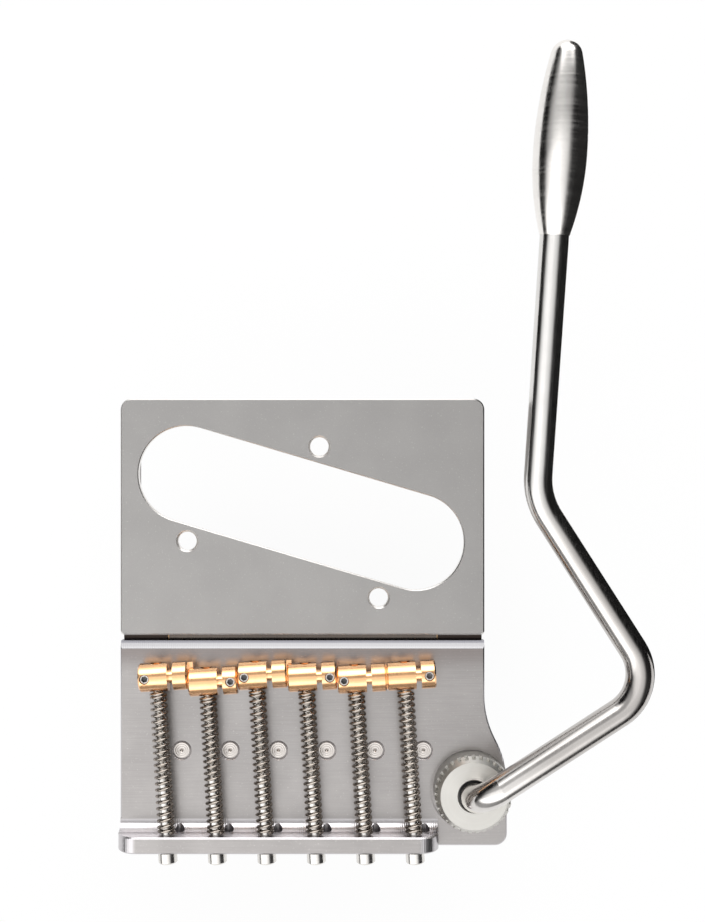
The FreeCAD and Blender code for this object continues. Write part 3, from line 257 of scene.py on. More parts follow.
@dataclass(frozen=True)
class Slope:
    """How the faces that don't lie level are finished: broken edges, bevels, fillets and walls.

    The tool's marks cross them at an even pitch along X, and their lower roughness is a real
    finish,
    but their own colour is painted light: a painted highlight on the plates, where it is lighter
    than the level faces, and painted shade on the collar's shoulder, where it is darker. TILT is
    the upright part of the normal where the finish begins and where it is full, WAVE_RATE how fast
    the wave texture runs, in radians for each unit of its place, and WANDER how far its lines
    stray.
    """

    colour: Colour
    roughness: float
    tool_pitch: float
    tool_depth: float

    TILT: ClassVar[Pair] = (0.9995, 0.985)
    WAVE_RATE: ClassVar[float] = 20.0
    WANDER: ClassVar[float] = 0.6

    def dress(self, sheet: NodeSheet, flat: dict[str, Any]) -> dict[str, Any]:
        """Puts this finish over a level face's one.

        Args:
            sheet: The material's nodes.
            flat: The level face's colour, roughness and normal, by the shader's input names.

        Returns:
            The same three, mixed by the face's tilt.
        """
        source = sheet.add("TexCoord", {}).outputs
        rise = sheet.add("SeparateXYZ", {0: source["Normal"]}).outputs["Z"]
        tilted = sheet.remap(rise, self.TILT)
        smoother = sheet.sum("SUBTRACT", self.roughness, flat["Roughness"])
        change = sheet.sum("MULTIPLY", tilted, smoother)
        marks = sheet.add("TexWave", {
            "Vector": source["Object"],
            "Scale": TURN / self.WAVE_RATE / self.tool_pitch,
            "Distortion": self.WANDER,
        })
        bump = sheet.add("Bump", {
            "Height": marks.outputs["Fac"],
            "Strength": tilted,
            "Distance": self.tool_depth,
            "Normal": flat["Normal"],
        })
        return {
            # Painted light: the tilted faces take the slope's own colour.
            "Base Color": sheet.blend(tilted, flat["Base Color"], self.colour),
            "Roughness": sheet.sum("ADD", flat["Roughness"], change),
            "Normal": bump.outputs["Normal"],
        }


@dataclass(frozen=True)
class PaintedLight:
    """Painted light: a factor on the colour ahead of a place along Y, which fades in over a way
    behind that.
    """

    edge: float
    fade: float
    factor: Colour

    def lay(self, sheet: NodeSheet, place: Socket, under: Socket) -> Socket:
        """Lays the painted light over a colour.

        Args:
            sheet: The material's nodes.
            place: The point on the piece.
            under: The colour.

        Returns:
            The colour's socket, with the painted light in it.
        """
        along = sheet.add("SeparateXYZ", {0: place}).outputs["Y"]
        ahead = sheet.remap(along, (self.edge - self.fade, self.edge))
        return sheet.blend(ahead, under, self.factor, Mixing.MULTIPLY)


@dataclass(frozen=True)
class Finish:
    """A surface with its colour, the grain that its making left, and slow variation over it.

    SPREAD is the part of a noise's range that is used, and PLAY how far the roughness strays. The
    flecks show where their noise passes FLECK_EDGE.
    """

    name: str
    colour: Colour
    roughness: float
    grain: Grain = Grain.EVEN
    grain_size: float = 0.2 * MM
    grain_depth: float = 0.003 * MM
    metallic: float = 1.0
    mottle: float = 0.05
    mottle_size: float = 9 * MM
    flecks: float = 0.0
    streaks: float = 0.0
    centre: Pair = (0.0, 0.0)
    lean: float = 0.0
    slope: Optional[Slope] = None
    # Painted light and shade, laid into the colour by place along Y.
    painted_lights: tuple[PaintedLight, ...] = ()
    lacquer: float = 0.0

    LACQUER_INDEX: ClassVar[float] = 1.7
    LACQUER_ROUGHNESS: ClassVar[float] = 0.1
    PLAY: ClassVar[float] = 0.05
    SPREAD: ClassVar[Pair] = (0.3, 0.7)
    FLECK_SIZE: ClassVar[float] = 0.3 * MM
    FLECK_EDGE: ClassVar[Pair] = (0.68, 0.76)
    FLECK_DETAIL: ClassVar[float] = 1.0
    GRAIN_DETAIL: ClassVar[float] = 2.0
    MOTTLE_DETAIL: ClassVar[float] = 3.0

    def material(self) -> bpy.types.Material:
        """The finish as a material, made at its first use.

        Returns:
            The material.
        """
        made = bpy.data.materials.get(self.name)
        if made is None:
            made, sheet = new_material(self.name)
            self._fill(sheet)
        return made

    def dress(self, *nodes: str) -> list[Piece]:
        """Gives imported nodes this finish.

        Args:
            nodes: Their names.

        Returns:
            Their objects.
        """
        for node in nodes:
            piece = frame["nodes"][node]
            if not piece.material_slots:
                piece.data.materials.append(None)
            for slot in piece.material_slots:
                slot.material = self.material()
        return [frame["nodes"][node] for node in nodes]

    def _fill(self, sheet: NodeSheet) -> None:
        """Fills the material.

        Args:
            sheet: Its nodes, still empty.
        """
        place = sheet.add("TexCoord", {}).outputs["Object"]
        grain = self._marks(sheet, place)
        cloud = sheet.remap(sheet.noise(place, self.mottle_size, self.MOTTLE_DETAIL), self.SPREAD)
        dark, pale = (shaded(self.colour, 1 + change) for change in (-self.mottle, self.mottle))
        colour = sheet.blend(cloud, dark, pale)
        if self.streaks:
            lines = sheet.remap(grain, self.SPREAD, (1 - self.streaks, 1 + self.streaks))
            colour = sheet.blend(1.0, colour, lines, Mixing.MULTIPLY)
        if self.flecks:
            spots = sheet.noise(place, self.FLECK_SIZE, self.FLECK_DETAIL)
            share = sheet.remap(spots, self.FLECK_EDGE)
            colour = sheet.blend(share, colour, shaded(self.colour, 1 + self.flecks))
        limits = (self.roughness - self.PLAY, self.roughness + self.PLAY)
        rough = sheet.remap(grain, self.SPREAD, limits)
        bump = sheet.add("Bump", {"Height": grain, "Strength": 1.0, "Distance": self.grain_depth})
        look = {"Base Color": colour, "Roughness": rough, "Normal": bump.outputs["Normal"]}
        if self.slope:
            look = self.slope.dress(sheet, look)
        # Painted light and shade by place along Y, laid over the colour.
        for painting in self.painted_lights:
            look["Base Color"] = painting.lay(sheet, place, look["Base Color"])
        if self.lacquer:
            look |= {
                "Coat Weight": self.lacquer,
                "Coat Roughness": self.LACQUER_ROUGHNESS,
                "Coat IOR": self.LACQUER_INDEX,
            }
        shader = sheet.add("BsdfPrincipled", {"Metallic": self.metallic, **look})
        sheet.add("OutputMaterial", {"Surface": shader.outputs["BSDF"]})

    def _marks(self, sheet: NodeSheet, place: Socket) -> Socket:
        """The grain's height.

        Args:
            sheet: The material's nodes.
            place: The point on the piece.

        Returns:
            The height's socket.
        """
        if self.grain is Grain.FACED:
            offset = {0: place, 1: (*self.centre, 0.0)}
            from_axis = sheet.add("VectorMath", offset, operation="SUBTRACT").outputs[0]
            flattened = {0: from_axis, 1: self.grain.value}
            level = sheet.add("VectorMath", flattened, operation="MULTIPLY").outputs[0]
            radius = sheet.add("VectorMath", {0: level}, operation="LENGTH").outputs["Value"]
            rings = {"W": radius, "Scale": 1 / self.grain_size, "Detail": self.GRAIN_DETAIL}
            return sheet.add("TexNoise", rings, noise_dimensions="1D").outputs["Fac"]
        turned = (0.0, 0.0, math.radians(self.lean))
        shrink = {"Vector": place, "Rotation": turned, "Scale": self.grain.value}
        shrunk = sheet.add("Mapping", shrink).outputs[0]
        return sheet.noise(shrunk, self.grain_size, self.GRAIN_DETAIL)


class Finishes:
    """The finishes of this bridge."""

    SATIN_PLATE = Finish(
        "finish_satin_plate", (0.374, 0.364, 0.356), 0.5,
        grain_depth=0.004 * MM, mottle=0.025, flecks=0.3, streaks=0.04,
        # The slope's lighter colour is a painted highlight on the front plate's edges and chamfers.
        slope=Slope((0.86, 0.835, 0.81), 0.3, tool_pitch=0.5 * MM, tool_depth=0.001 * MM))
    BRUSHED_PLATE = Finish(
        "finish_brushed_plate", (0.357, 0.34, 0.333), 0.33, Grain.LINES_ALONG_X,
        grain_depth=0.003 * MM, mottle=0.05, flecks=0.35, streaks=0.045,
        # The slope's lighter colour is a painted highlight on the fillet, the bevel and the lip's
        # edges.
        slope=Slope((0.6, 0.58, 0.59), 0.28, tool_pitch=0.45 * MM, tool_depth=0.012 * MM),
        painted_lights=(
            # Painted light: a painted shadow of the saddles on the floor's strip ahead of them, a
            # painted reflection on the bevel, its lower half and its front edge, and painted shade
            # on the wall below it.
            PaintedLight(-2.6 * MM, 5 * MM, (0.76, 0.72, 0.71)),
            PaintedLight(-2.3 * MM, 0.01 * MM, (0.59, 0.635, 0.65)),
            PaintedLight(-1.6 * MM, 0.6 * MM, (0.84, 0.84, 0.84)),
            PaintedLight(-0.95 * MM, 0.35 * MM, (0.58, 0.58, 0.62)),
            PaintedLight(-0.62 * MM, 0.01 * MM, (0.45, 0.36, 0.3)),
        ))
    FRAME_STEEL = Finish("finish_frame_steel", (0.123, 0.104, 0.091), 0.26, mottle=0.08)
    BLOCK_STEEL = Finish(
        "finish_block_steel", (0.5, 0.494, 0.487), 0.4, Grain.LINES_ALONG_X, mottle=0.08)
    TURNED_PIN = Finish("finish_turned_pin", (0.56, 0.523, 0.494), 0.24, mottle=0.02)
    SCREW_STEEL = Finish(
        "finish_screw_steel", (0.74, 0.718, 0.688), 0.22, Grain.RINGS_ABOUT_Y,
        grain_depth=0.001 * MM, mottle_size=4 * MM)
    SET_SCREW_STEEL = Finish(
        "finish_set_screw_steel", (0.585, 0.557, 0.53), 0.3, Grain.RINGS_ABOUT_Z,
        grain_depth=0.001 * MM, mottle=0.1, mottle_size=1.5 * MM)
    # Black steel of the grub screws; inside the screws' sockets it is painted shade.
    BLACK_STEEL_AND_SOCKET_SHADE = Finish(
        "finish_black_steel_and_socket_shade", (0.125, 0.121, 0.122), 0.35, mottle=0.2, mottle_size=1.5 * MM)
    BRONZE = Finish(
        "finish_bronze", (0.33, 0.215, 0.12), 0.4, Grain.RINGS_ABOUT_X,
        mottle=0.15, mottle_size=2 * MM)
    SOCKET_STEEL = Finish(
        "finish_socket_steel", (0.14, 0.137, 0.134), 0.35, Grain.RINGS_ABOUT_Z)
    COLLAR_STEEL = Finish(
        "finish_collar_steel", (0.65, 0.635, 0.6), 0.5, Grain.FACED,
        grain_size=0.25 * MM, grain_depth=0.002 * MM, mottle=0.04,
        # The slope's darker colour is painted shade on the collar's shoulder.
        slope=Slope((0.585, 0.57, 0.537), 0.42, tool_pitch=0.4 * MM, tool_depth=0.002 * MM))
    ARM_STEEL = Finish(
        "finish_arm_steel", (0.7, 0.676, 0.654), 0.17, Grain.LINES_ALONG_Y,
        grain_size=0.35 * MM, grain_depth=0.0006 * MM, mottle=0.04,
        painted_lights=(
            # Painted shade past the bend, where the rod is darker, and a painted highlight along
            # the handle, where it is pale again.
            PaintedLight(-22 * MM, 8 * MM, (0.77, 0.76, 0.755)),
            PaintedLight(36 * MM, 20 * MM, (1.36, 1.4, 1.42)),
        ))
    TIP_STEEL = Finish(
        "finish_tip_steel", (0.88, 0.855, 0.825), 0.21, Grain.RINGS_ABOUT_Y,
        grain_size=0.4 * MM, grain_depth=0.001 * MM, mottle=0.04, lean=-4.0)
    SPRING_STEEL = Finish(
        "finish_spring_steel", (0.42, 0.376, 0.335), 0.2,
        grain_depth=0.001 * MM, mottle_size=3 * MM)
    SADDLE_BRASS = Finish(
        "finish_saddle_brass", (0.96, 0.54, 0.255), 0.2, Grain.RINGS_ABOUT_X,
        grain_size=0.16 * MM, grain_depth=0.0012 * MM, mottle=0.05, mottle_size=3 * MM,
        lacquer=0.9)
    NYLON = Finish(
        "finish_nylon", (0.028, 0.028, 0.029), 0.5, metallic=0.0, grain_depth=0.01 * MM)
    PAD_RUBBER = Finish(
        "finish_pad_rubber", (0.042, 0.042, 0.045), 0.7, metallic=0.0, grain_depth=0.02 * MM)


@dataclass(frozen=True)
class Axis:
    """A line that round pieces are built about."""

    origin: Vector
    way: Vector

    @classmethod
    def of_joint(cls, name: str) -> "Axis":
        """The axis of a joint, turned round, so that it points from a screw's head to its tail."""
        joint = next(joint for joint in frame["joints"] if joint["name"] == name)
        return cls(Vector(joint["pos_m"]), -Vector(joint["axis"]).normalized())

    @classmethod
    def upright(cls, node: str) -> "Axis":
        """The vertical axis through the middle of a node."""
        low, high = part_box(node)
        return cls(Vector(((low.x + high.x) / 2, (low.y + high.y) / 2, 0.0)), UP)

    def out(self, angle: float) -> Vector:
        """Unit vector away from the axis at an angle that turns right-handed about it."""
        side = self.way.orthogonal().normalized()
        return side * math.cos(angle) + self.way.cross(side) * math.sin(angle)

    def at(self, along: float, radius: float = 0.0, angle: float = 0.0) -> Vector:
        """Point at a place along the axis, a distance from it and an angle round it."""
        return self.origin + self.way * along + self.out(angle) * radius

    def span(self, node: str) -> Pair:
        """Where a node begins and ends along the axis."""
        points = (vertex.co for vertex in frame["nodes"][node].data.vertices)
        marks = [(point - self.origin).dot(self.way) for point in points]
        return min(marks), max(marks)


def round_angles(count: int) -> list[float]:
    """The angles of points spread evenly over a turn."""
    return [TURN * step / count for step in range(count)]


class Stock:
    """A piece's points and faces while it is made.

    Edges turned by more than SHARP stay sharp. Faces inside sockets are listed and take a second
    material slot, dark black steel: painted shade in the recess.
    """

    SHARP: ClassVar[float] = math.radians(32)
    SOCKET_SHADE_SLOT: ClassVar[int] = 1

    def __init__(self, axis: Axis) -> None:
        """Starts with nothing.

        Args:
            axis: The axis that the piece is built about.
        """
        self.axis = axis
        self.points: list[Vector] = []
        self.faces: list[tuple[int, ...]] = []
        self.socket_shade_faces: list[int] = []

    def add(self, points: Sequence[Vector]) -> Ring:
        """Adds points.

        Args:
            points: The points.

        Returns:
            Their numbers.
        """
        first = len(self.points)
        self.points += points
        return list(range(first, len(self.points)))

    def ring(self, along: float, radius: Callable[[float], float], count: int) -> Ring:
        """Adds a ring of points round the axis.

        Args:
            along: Its place on the axis.
            radius: Its radius at an angle.
            count: Points round it.

        Returns:
            The points' numbers.
        """
        angles = round_angles(count)
        return self.add([self.axis.at(along, radius(angle), angle) for angle in angles])

    def circle(self, along: float, radius: float, count: int) -> Ring:
        """Adds a ring with the same radius all round."""
        return self.ring(along, lambda _angle: radius, count)

    def wire_ring(self, centre: Vector, away: Vector, across: Vector, radius: float,
                  count: int) -> Ring:
        """Adds a ring of points round a wire.

        Args:
            centre: The wire's own middle.
            away: Unit vector across the wire.
            across: Unit vector across both.
            radius: The wire's radius.
            count: Points round it.

        Returns:
            The points' numbers.
        """
        sides = [away * math.cos(angle) + across * math.sin(angle) for angle in round_angles(count)]
        return self.add([centre + side * radius for side in sides])

    def skin(self, rings: Sequence[Ring]) -> None:
        """Joins each ring to the next.

        Args:
            rings: Rings with the same number of points.
        """
        for near, far in zip(rings, rings[1:]):
            count = len(near)
            for step in range(count):
                following = (step + 1) % count
                self.faces.append((near[step], near[following], far[following], far[step]))

    def close(self, ring: Ring, centre: Vector) -> None:
        """Closes a ring with faces that meet at a point.

        Args:
            ring: The ring.
            centre: The point.
        """
        (middle,) = self.add([centre])
        for step, point in enumerate(ring):
            self.faces.append((point, ring[(step + 1) % len(ring)], middle))

    def lathe(self, profile: Sequence[Pair], count: int) -> None:
        """Turns a closed form.

        Args:
            profile: Pairs of place along the axis and radius, from one end to the other.
            count: Points round it.
        """
        rings = [self.circle(along, radius, count) for along, radius in profile]
        self.skin(rings)
        self.close(rings[0], self.axis.at(profile[0][0]))
        self.close(rings[-1], self.axis.at(profile[-1][0]))

    def mesh(self, name: str) -> bpy.types.Mesh:
        """Makes a mesh of the points and faces.

        Args:
            name: Its name.

        Returns:
            The mesh, with no material yet.
        """
        mesh = bpy.data.meshes.new(name)
        mesh.from_pydata([tuple(point) for point in self.points], [], self.faces)
        return mesh

    def piece(self, name: str, finish: Finish) -> Piece:
        """Makes the object.

        Args:
            name: Its name.
            finish: Its finish.

        Returns:
            The object, with its faces turned outwards, its corners kept sharp and painted shade, a
            dark material, in its sockets.
        """
        mesh = self.mesh(name)
        work = bmesh.new()
        work.from_mesh(mesh)
        bmesh.ops.recalc_face_normals(work, faces=work.faces)
        work.to_mesh(mesh)
        work.free()
        mesh.shade_smooth()
        mesh.set_sharp_from_angle(angle=self.SHARP)
        mesh.materials.append(finish.material())
        # The faces inside sockets take the dark black steel: painted shade.
        if self.socket_shade_faces:
            mesh.materials.append(Finishes.BLACK_STEEL_AND_SOCKET_SHADE.material())
        for face in self.socket_shade_faces:
            mesh.polygons[face].material_index = self.SOCKET_SHADE_SLOT
        return put_in_scene(name, mesh)


def settle(piece: Piece, body: str, slot: str, *nodes: str) -> Piece:
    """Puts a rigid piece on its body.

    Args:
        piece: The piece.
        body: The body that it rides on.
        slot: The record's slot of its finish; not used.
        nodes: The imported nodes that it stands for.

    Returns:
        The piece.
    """
    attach(piece, body)
    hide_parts(*nodes)
    return piece


def soft_step(value: float) -> float:
    """Zero below 0, one above 1, and smooth between."""
    share = max(0.0, min(1.0, value))
    return share * share * (3 - 2 * share)


@dataclass(frozen=True)
class Thread:
    """A right-handed screw thread.

    Its flanks are a zigzag from 0 to 1, made STEEP times as steep and lowered by CUT, so that a
    narrow flat is left on crest and root.
    """

    crest: float
    root: float
    pitch: float
    steps: int = 7
    count: int = 24

    STEEP: ClassVar[float] = 1.4
    CUT: ClassVar[float] = 0.2

    def rings(self, stock: Stock, start: float, end: float) -> list[Ring]:
        """Adds the thread's rings.

        Args:
            stock: The piece.
            start: Where it begins along the axis.
            end: Where it ends.

        Returns:
            Its rings, from start to end.
        """
        total = round((end - start) / self.pitch * self.steps)
        rings = []
        for step in range(total + 1):
            along = start + (end - start) * step / total
            runout = soft_step((along - start) / self.pitch) * soft_step((end - along) / self.pitch)
            rings.append(stock.ring(along, partial(self._radius, along, runout), self.count))
        return rings

    def _radius(self, along: float, runout: float, angle: float) -> float:
        """Radius at a point of the thread.

        Args:
            along: The point's place along the axis.
            runout: Share of the thread's depth that is cut there.
            angle: The point's angle round the axis.

        Returns:
            The radius.
        """
        share = (along / self.pitch - angle / TURN) % 1.0
        height = max(0.0, min(1.0, abs(2 * share - 1) * self.STEEP - self.CUT))
        return self.root + (self.crest - self.root) * height * runout


@dataclass(frozen=True)
class HexSocket:
    """A hexagon socket in a screw's end."""

    across: float
    depth: float
    cone: float

    SIDES: ClassVar[int] = 6

    def sink(self, stock: Stock, rim: Ring, face: float, inward: Inward) -> None:
        """Sinks it from a round rim.

        Args:
            stock: The piece.
            rim: The ring that the face starts from.
            face: The face's place along the axis.
            inward: Which way the socket goes.
        """
        bottom = face + inward.value * self.depth
        mouth = stock.ring(face, self._reach, len(rim))
        floor = stock.ring(bottom, self._reach, len(rim))
        stock.skin([rim, mouth])
        first = len(stock.faces)
        stock.skin([mouth, floor])
        stock.close(floor, stock.axis.at(face + inward.value * (self.depth + self.cone)))
        # Its inner faces are listed for the dark material: painted shade in the socket.
        stock.socket_shade_faces += range(first, len(stock.faces))

    def _reach(self, angle: float) -> float:
        """Distance from the axis to the hexagon's side."""
        sector = TURN / self.SIDES
        return self.across / 2 / math.cos((angle + sector / 2) % sector - sector / 2)


@dataclass(frozen=True)
class Coil:
    """A right-handed compression spring with closed ends.

    A closed turn takes CLOSED_PITCH wires, and the coil opens over OPENING turns.
    """

    wire: float
    mean_radius: float
    turns: float
    closed_turns: float = 1.0
    steps: int = 30
    count: int = 12

    CLOSED_PITCH: ClassVar[float] = 1.04
    OPENING: ClassVar[float] = 0.7

    def fit(self, node: str, axis: Axis, back: str, front: str) -> Piece:
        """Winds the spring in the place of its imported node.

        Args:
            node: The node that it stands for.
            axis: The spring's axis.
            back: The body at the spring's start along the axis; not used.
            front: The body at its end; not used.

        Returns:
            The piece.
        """
        start, end = axis.span(node)
        stock = Stock(axis)
        self._wind(stock, start, end)
        piece = stock.piece(f"wound_{node}", Finishes.SPRING_STEEL)
        axis.at(start)
        axis.at(end)
        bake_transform(piece)
        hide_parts(node)
        return piece

    def _wind(self, stock: Stock, start: float, end: float) -> None:
        """Winds the wire between two faces.

        Args:
            stock: The piece.
            start: Where it begins along the axis.
            end: Where it ends.
        """
        total = round(self.turns * self.steps)
        shares = [self._opening(self.turns * (step + 0.5) / total) for step in range(total)]
        closed = self.wire * self.CLOSED_PITCH / self.steps
        room = end - start - self.wire - closed * total
        opened = room / sum(shares)
        along = start + self.wire / 2
        rings = []
        for step in range(total + 1):
            rise = closed + opened * shares[min(step, total - 1)]
            rings.append(self._ring(stock, along, TURN * step / self.steps, rise * self.steps))
            along += rise
        stock.skin(rings)
        for ring in (rings[0], rings[-1]):
            middle = sum((stock.points[point] for point in ring), Vector()) / len(ring)
            stock.close(ring, middle)

    def _opening(self, turn: float) -> float:
        """How far the coil is open at a turn: 0 in the closed ends, 1 in the middle."""
        from_end = min(turn, self.turns - turn)
        return soft_step((from_end - self.closed_turns) / self.OPENING)

    def _ring(self, stock: Stock, along: float, angle: float, pitch: float) -> Ring:
        """Adds a ring of points square to the wire.

        Args:
            stock: The piece.
            along: The wire's place along the axis.
            angle: Its angle round the axis.
            pitch: How far the wire climbs in a turn there.

        Returns:
            The points' numbers.
        """
        away = stock.axis.out(angle)
        forward = stock.axis.way.cross(away) * TURN * self.mean_radius + stock.axis.way * pitch
        across = forward.normalized().cross(away)
        centre = stock.axis.at(along, self.mean_radius, angle)
        return stock.wire_ring(centre, away, across, self.wire / 2, self.count)


@dataclass(frozen=True)
class Panel:
    """A soft light in the tent: its brightness across X and along Y, in degrees from straight up.

    REACH is how far down the tent goes.
    """

    across: Stops
    along: Stops

    REACH: ClassVar[float] = 90.0

    def light(self, sheet: NodeSheet, x_angle: Socket, y_angle: Socket) -> Socket:
        """Its brightness in a direction.

        Args:
            sheet: The tent's nodes.
            x_angle: The direction's angle across X.
            y_angle: The direction's angle along Y.

        Returns:
            The brightness' socket.
        """
        across = sheet.ramp(x_angle, self.across, self.REACH)
        along = sheet.ramp(y_angle, self.along, self.REACH)
        return sheet.add("VectorMath", {0: across, 1: along}, operation="MULTIPLY").outputs[0]


@dataclass
class Studio:
    """Camera, white floor, dark flags at the sides and a tent with an overhead and a front panel.

    The flags' outline gives pairs of place along Y and height over the floor.
    """

    camera_place: tuple[float, float, float] = (10.77 * MM, 38.12 * MM, 286.55 * MM)
    lens: float = 50.76
    sensor: float = 36.0
    nearest: float = 10 * MM
    floor_level: float = -24.6 * MM
    floor_radius: float = 4.0
    floor_white: float = 0.9
    floor_glow: float = 0.94
    tent_radius: float = 3.0
    tent_sides: int = 64
    tent_light: float = 2.07
    flag_black: float = 0.02
    flag_sides: Pair = (-170 * MM, 85 * MM)
    flag_outline: tuple[Pair, ...] = (
        (-40 * MM, 0.0), (250 * MM, 0.0), (250 * MM, 70 * MM), (80 * MM, 70 * MM),
        (10 * MM, 55 * MM))
    overhead: Panel = Panel(
        across=((-90, 0.02), (-72, 0.03), (-66, 0.18), (-61, 0.45), (-50, 0.75), (-35, 1.0),
                (-12, 1.0), (4, 0.78), (14, 0.68), (25, 0.52), (32, 0.3), (38, 0.1), (45, 0.02),
                (90, 0.01)),
        along=((-90, 0.2), (-62, 0.2), (-50, 1.3), (-34, 1.4), (-22, 0.84), (-6, 0.66), (6, 0.64),
               (15, 0.29), (36, 0.26), (46, 0.1), (60, 0.0), (90, 0.0)))
    front: Panel = Panel(
        across=((-90, 0.0), (-35, 0.0), (-27, 0.5), (-17, 1.0), (30, 1.0), (40, 0.3), (48, 0.0),
                (90, 0.0)),
        along=((-90, 0.0), (33, 0.0), (45, 1.75), (70, 1.75), (78, 0.9), (90, 0.7)))

    def build(self) -> None:
        """Builds the whole studio."""
        scene = bpy.context.scene
        scene.view_settings.view_transform = "Standard"
        scene.camera = self._camera()
        scene.world = self._backdrop()
        self._floor()
        self._tent()
        self._flags()

    def _camera(self) -> Piece:
        """Sets up the camera, straight above and looking down.

        Returns:
            The camera.
        """
        data = bpy.data.cameras.new("camera")
        data.sensor_width = self.sensor
        data.lens = self.lens
        data.clip_start = self.nearest
        camera = put_in_scene("camera", data)
        camera.location = self.camera_place
        return camera

    def _backdrop(self) -> bpy.types.World:
        """Makes plain white behind everything.

        Returns:
            The world.
        """
        world = bpy.data.worlds.new("backdrop")
        world.use_nodes = True
        sheet = NodeSheet(world.node_tree)
        white = sheet.add("Background", {"Color": solid(WHITE), "Strength": 1.0})
        sheet.add("OutputWorld", {"Surface": white.outputs[0]})
        return world

    def _floor(self) -> Piece:
        """Makes the white floor that the sustain block stands on; it keeps a faint shadow.

        Returns:
            The floor.
        """
        stock = self._on_floor()
        rim = stock.circle(0.0, self.floor_radius, self.tent_sides)
        stock.close(rim, stock.axis.at(0.0))
        material, sheet = new_material("studio_floor")
        seen = sheet.add("LightPath", {}).outputs
        direct = sheet.sum("MAXIMUM", seen["Is Camera Ray"], seen["Is Glossy Ray"])
        either = sheet.sum("MAXIMUM", direct, seen["Is Transmission Ray"])
        share = sheet.sum("MULTIPLY", either, self.floor_glow)
        matt = sheet.add("BsdfDiffuse", {"Color": solid((self.floor_white,) * 3)})
        glow = sheet.add("Emission", {"Color": solid(WHITE), "Strength": 1.0})
        mix = sheet.add("MixShader", {0: share, 1: matt.outputs[0], 2: glow.outputs[0]})
        sheet.add("OutputMaterial", {"Surface": mix.outputs[0]})
        return self._stand("studio_floor", stock, material)

    def _tent(self) -> Piece:
        """Makes half a globe of soft panels and dark cloth that only lights the object.

        Returns:
            The tent.
        """
        stock = self._on_floor()
        rings = []
        rows = self.tent_sides // 4
        for row in range(rows):
            climb = QUARTER * row / rows
            level, reach = self.tent_radius * math.sin(climb), self.tent_radius * math.cos(climb)
            rings.append(stock.circle(level, reach, self.tent_sides))
        stock.skin(rings)
        stock.close(rings[-1], stock.axis.at(self.tent_radius))
        material, sheet = new_material("studio_tent")
        place = sheet.add("TexCoord", {}).outputs["Object"]
        way = sheet.add("VectorMath", {0: place}, operation="NORMALIZE").outputs[0]
        part = sheet.add("SeparateXYZ", {0: way}).outputs
        angles = sheet.sum("ARCSINE", part["X"]), sheet.sum("ARCTAN2", part["Y"], part["Z"])
        lights = [panel.light(sheet, *angles) for panel in (self.overhead, self.front)]
        both = sheet.add("VectorMath", dict(enumerate(lights)), operation="ADD").outputs[0]
        glow = sheet.add("Emission", {"Color": both, "Strength": self.tent_light})
        sheet.add("OutputMaterial", {"Surface": glow.outputs[0]})
        tent = self._stand("studio_tent", stock, material)
        tent.visible_camera = False
        return tent

    def _flags(self) -> Piece:
        """Makes low walls of dark cloth at both sides that only the polished pieces mirror.

        Returns:
            The flags.
        """
        stock = self._on_floor()
        for x in self.flag_sides:
            corners = [Vector((x, y, self.floor_level + height)) for y, height in self.flag_outline]
            stock.faces.append(tuple(stock.add(corners)))
        material, sheet = new_material("studio_flag")
        cloth = sheet.add("BsdfDiffuse", {"Color": solid((self.flag_black,) * 3)})
        sheet.add("OutputMaterial", {"Surface": cloth.outputs[0]})
        flags = self._stand("studio_flag", stock, material)
        flags.visible_camera = False
        flags.visible_diffuse = False
        flags.visible_shadow = False
        return flags

    def _on_floor(self) -> Stock:
        """Nothing yet, about an upright axis from the floor's middle."""
        return Stock(Axis(Vector((0.0, 0.0, self.floor_level)), UP))

    def _stand(self, name: str, stock: Stock, material: bpy.types.Material) -> Piece:
        """Makes a part of the studio.

        Args:
            name: Its name.
            stock: Its form.
            material: Its material.

        Returns:
            The object.
        """
        mesh = stock.mesh(name)
        mesh.materials.append(material)
        return put_in_scene(name, mesh)


@dataclass
class FixedBase:
    """Front plate, base frame, pivot bushes and the pads that the moving plate rests on."""

    pad_radius: float = 2.2 * MM
    stem_radius: float = 1.5 * MM
    stem_length: float = 2.0 * MM
    pad_round: float = 0.35 * MM
    pad_crown: float = 0.12 * MM
    pad_steps: int = 6
    pad_sides: int = 40

    def build(self) -> list[Piece]:
        """Dresses the plates and makes the pads.

        Returns:
            The pieces.
        """
        return [
            *Finishes.FRAME_STEEL.dress("base_frame"),
            *Finishes.SATIN_PLATE.dress("front_plate"),
            *Finishes.SCREW_STEEL.dress("front_plate_screws"),
            *Finishes.BRONZE.dress("pivot_bush_left", "pivot_bush_right"),
            self._pad("left"),
            self._pad("right"),
        ]

    def _pad(self, side: str) -> Piece:
        """Makes a rubber pad with a crowned top and a stem.

        Args:
            side: Which one.

        Returns:
            The piece.
        """
        node = f"rest_pad_{side}"
        axis = Axis.upright(node)
        start, end = axis.span(node)
        shoulder = start + self.stem_length
        profile = [
            (start, self.stem_radius),
            (shoulder, self.stem_radius),
            (shoulder, self.pad_radius),
        ]
        for step in range(self.pad_steps + 1):
            turn = QUARTER * step / self.pad_steps
            along = end - self.pad_crown - self.pad_round * (1 - math.sin(turn))
            profile.append((along, self.pad_radius - self.pad_round * (1 - math.cos(turn))))
        top = profile[-1][1]
        for step in range(1, self.pad_steps):
            share = 1 - step / self.pad_steps
            profile.append((end - self.pad_crown * share * share, top * share))
        stock = Stock(axis)
        stock.lathe(profile, self.pad_sides)
        piece = stock.piece(f"pad_{side}", Finishes.PAD_RUBBER)
        pad = settle(piece, "base", "pad_rubber", node)
        return pad


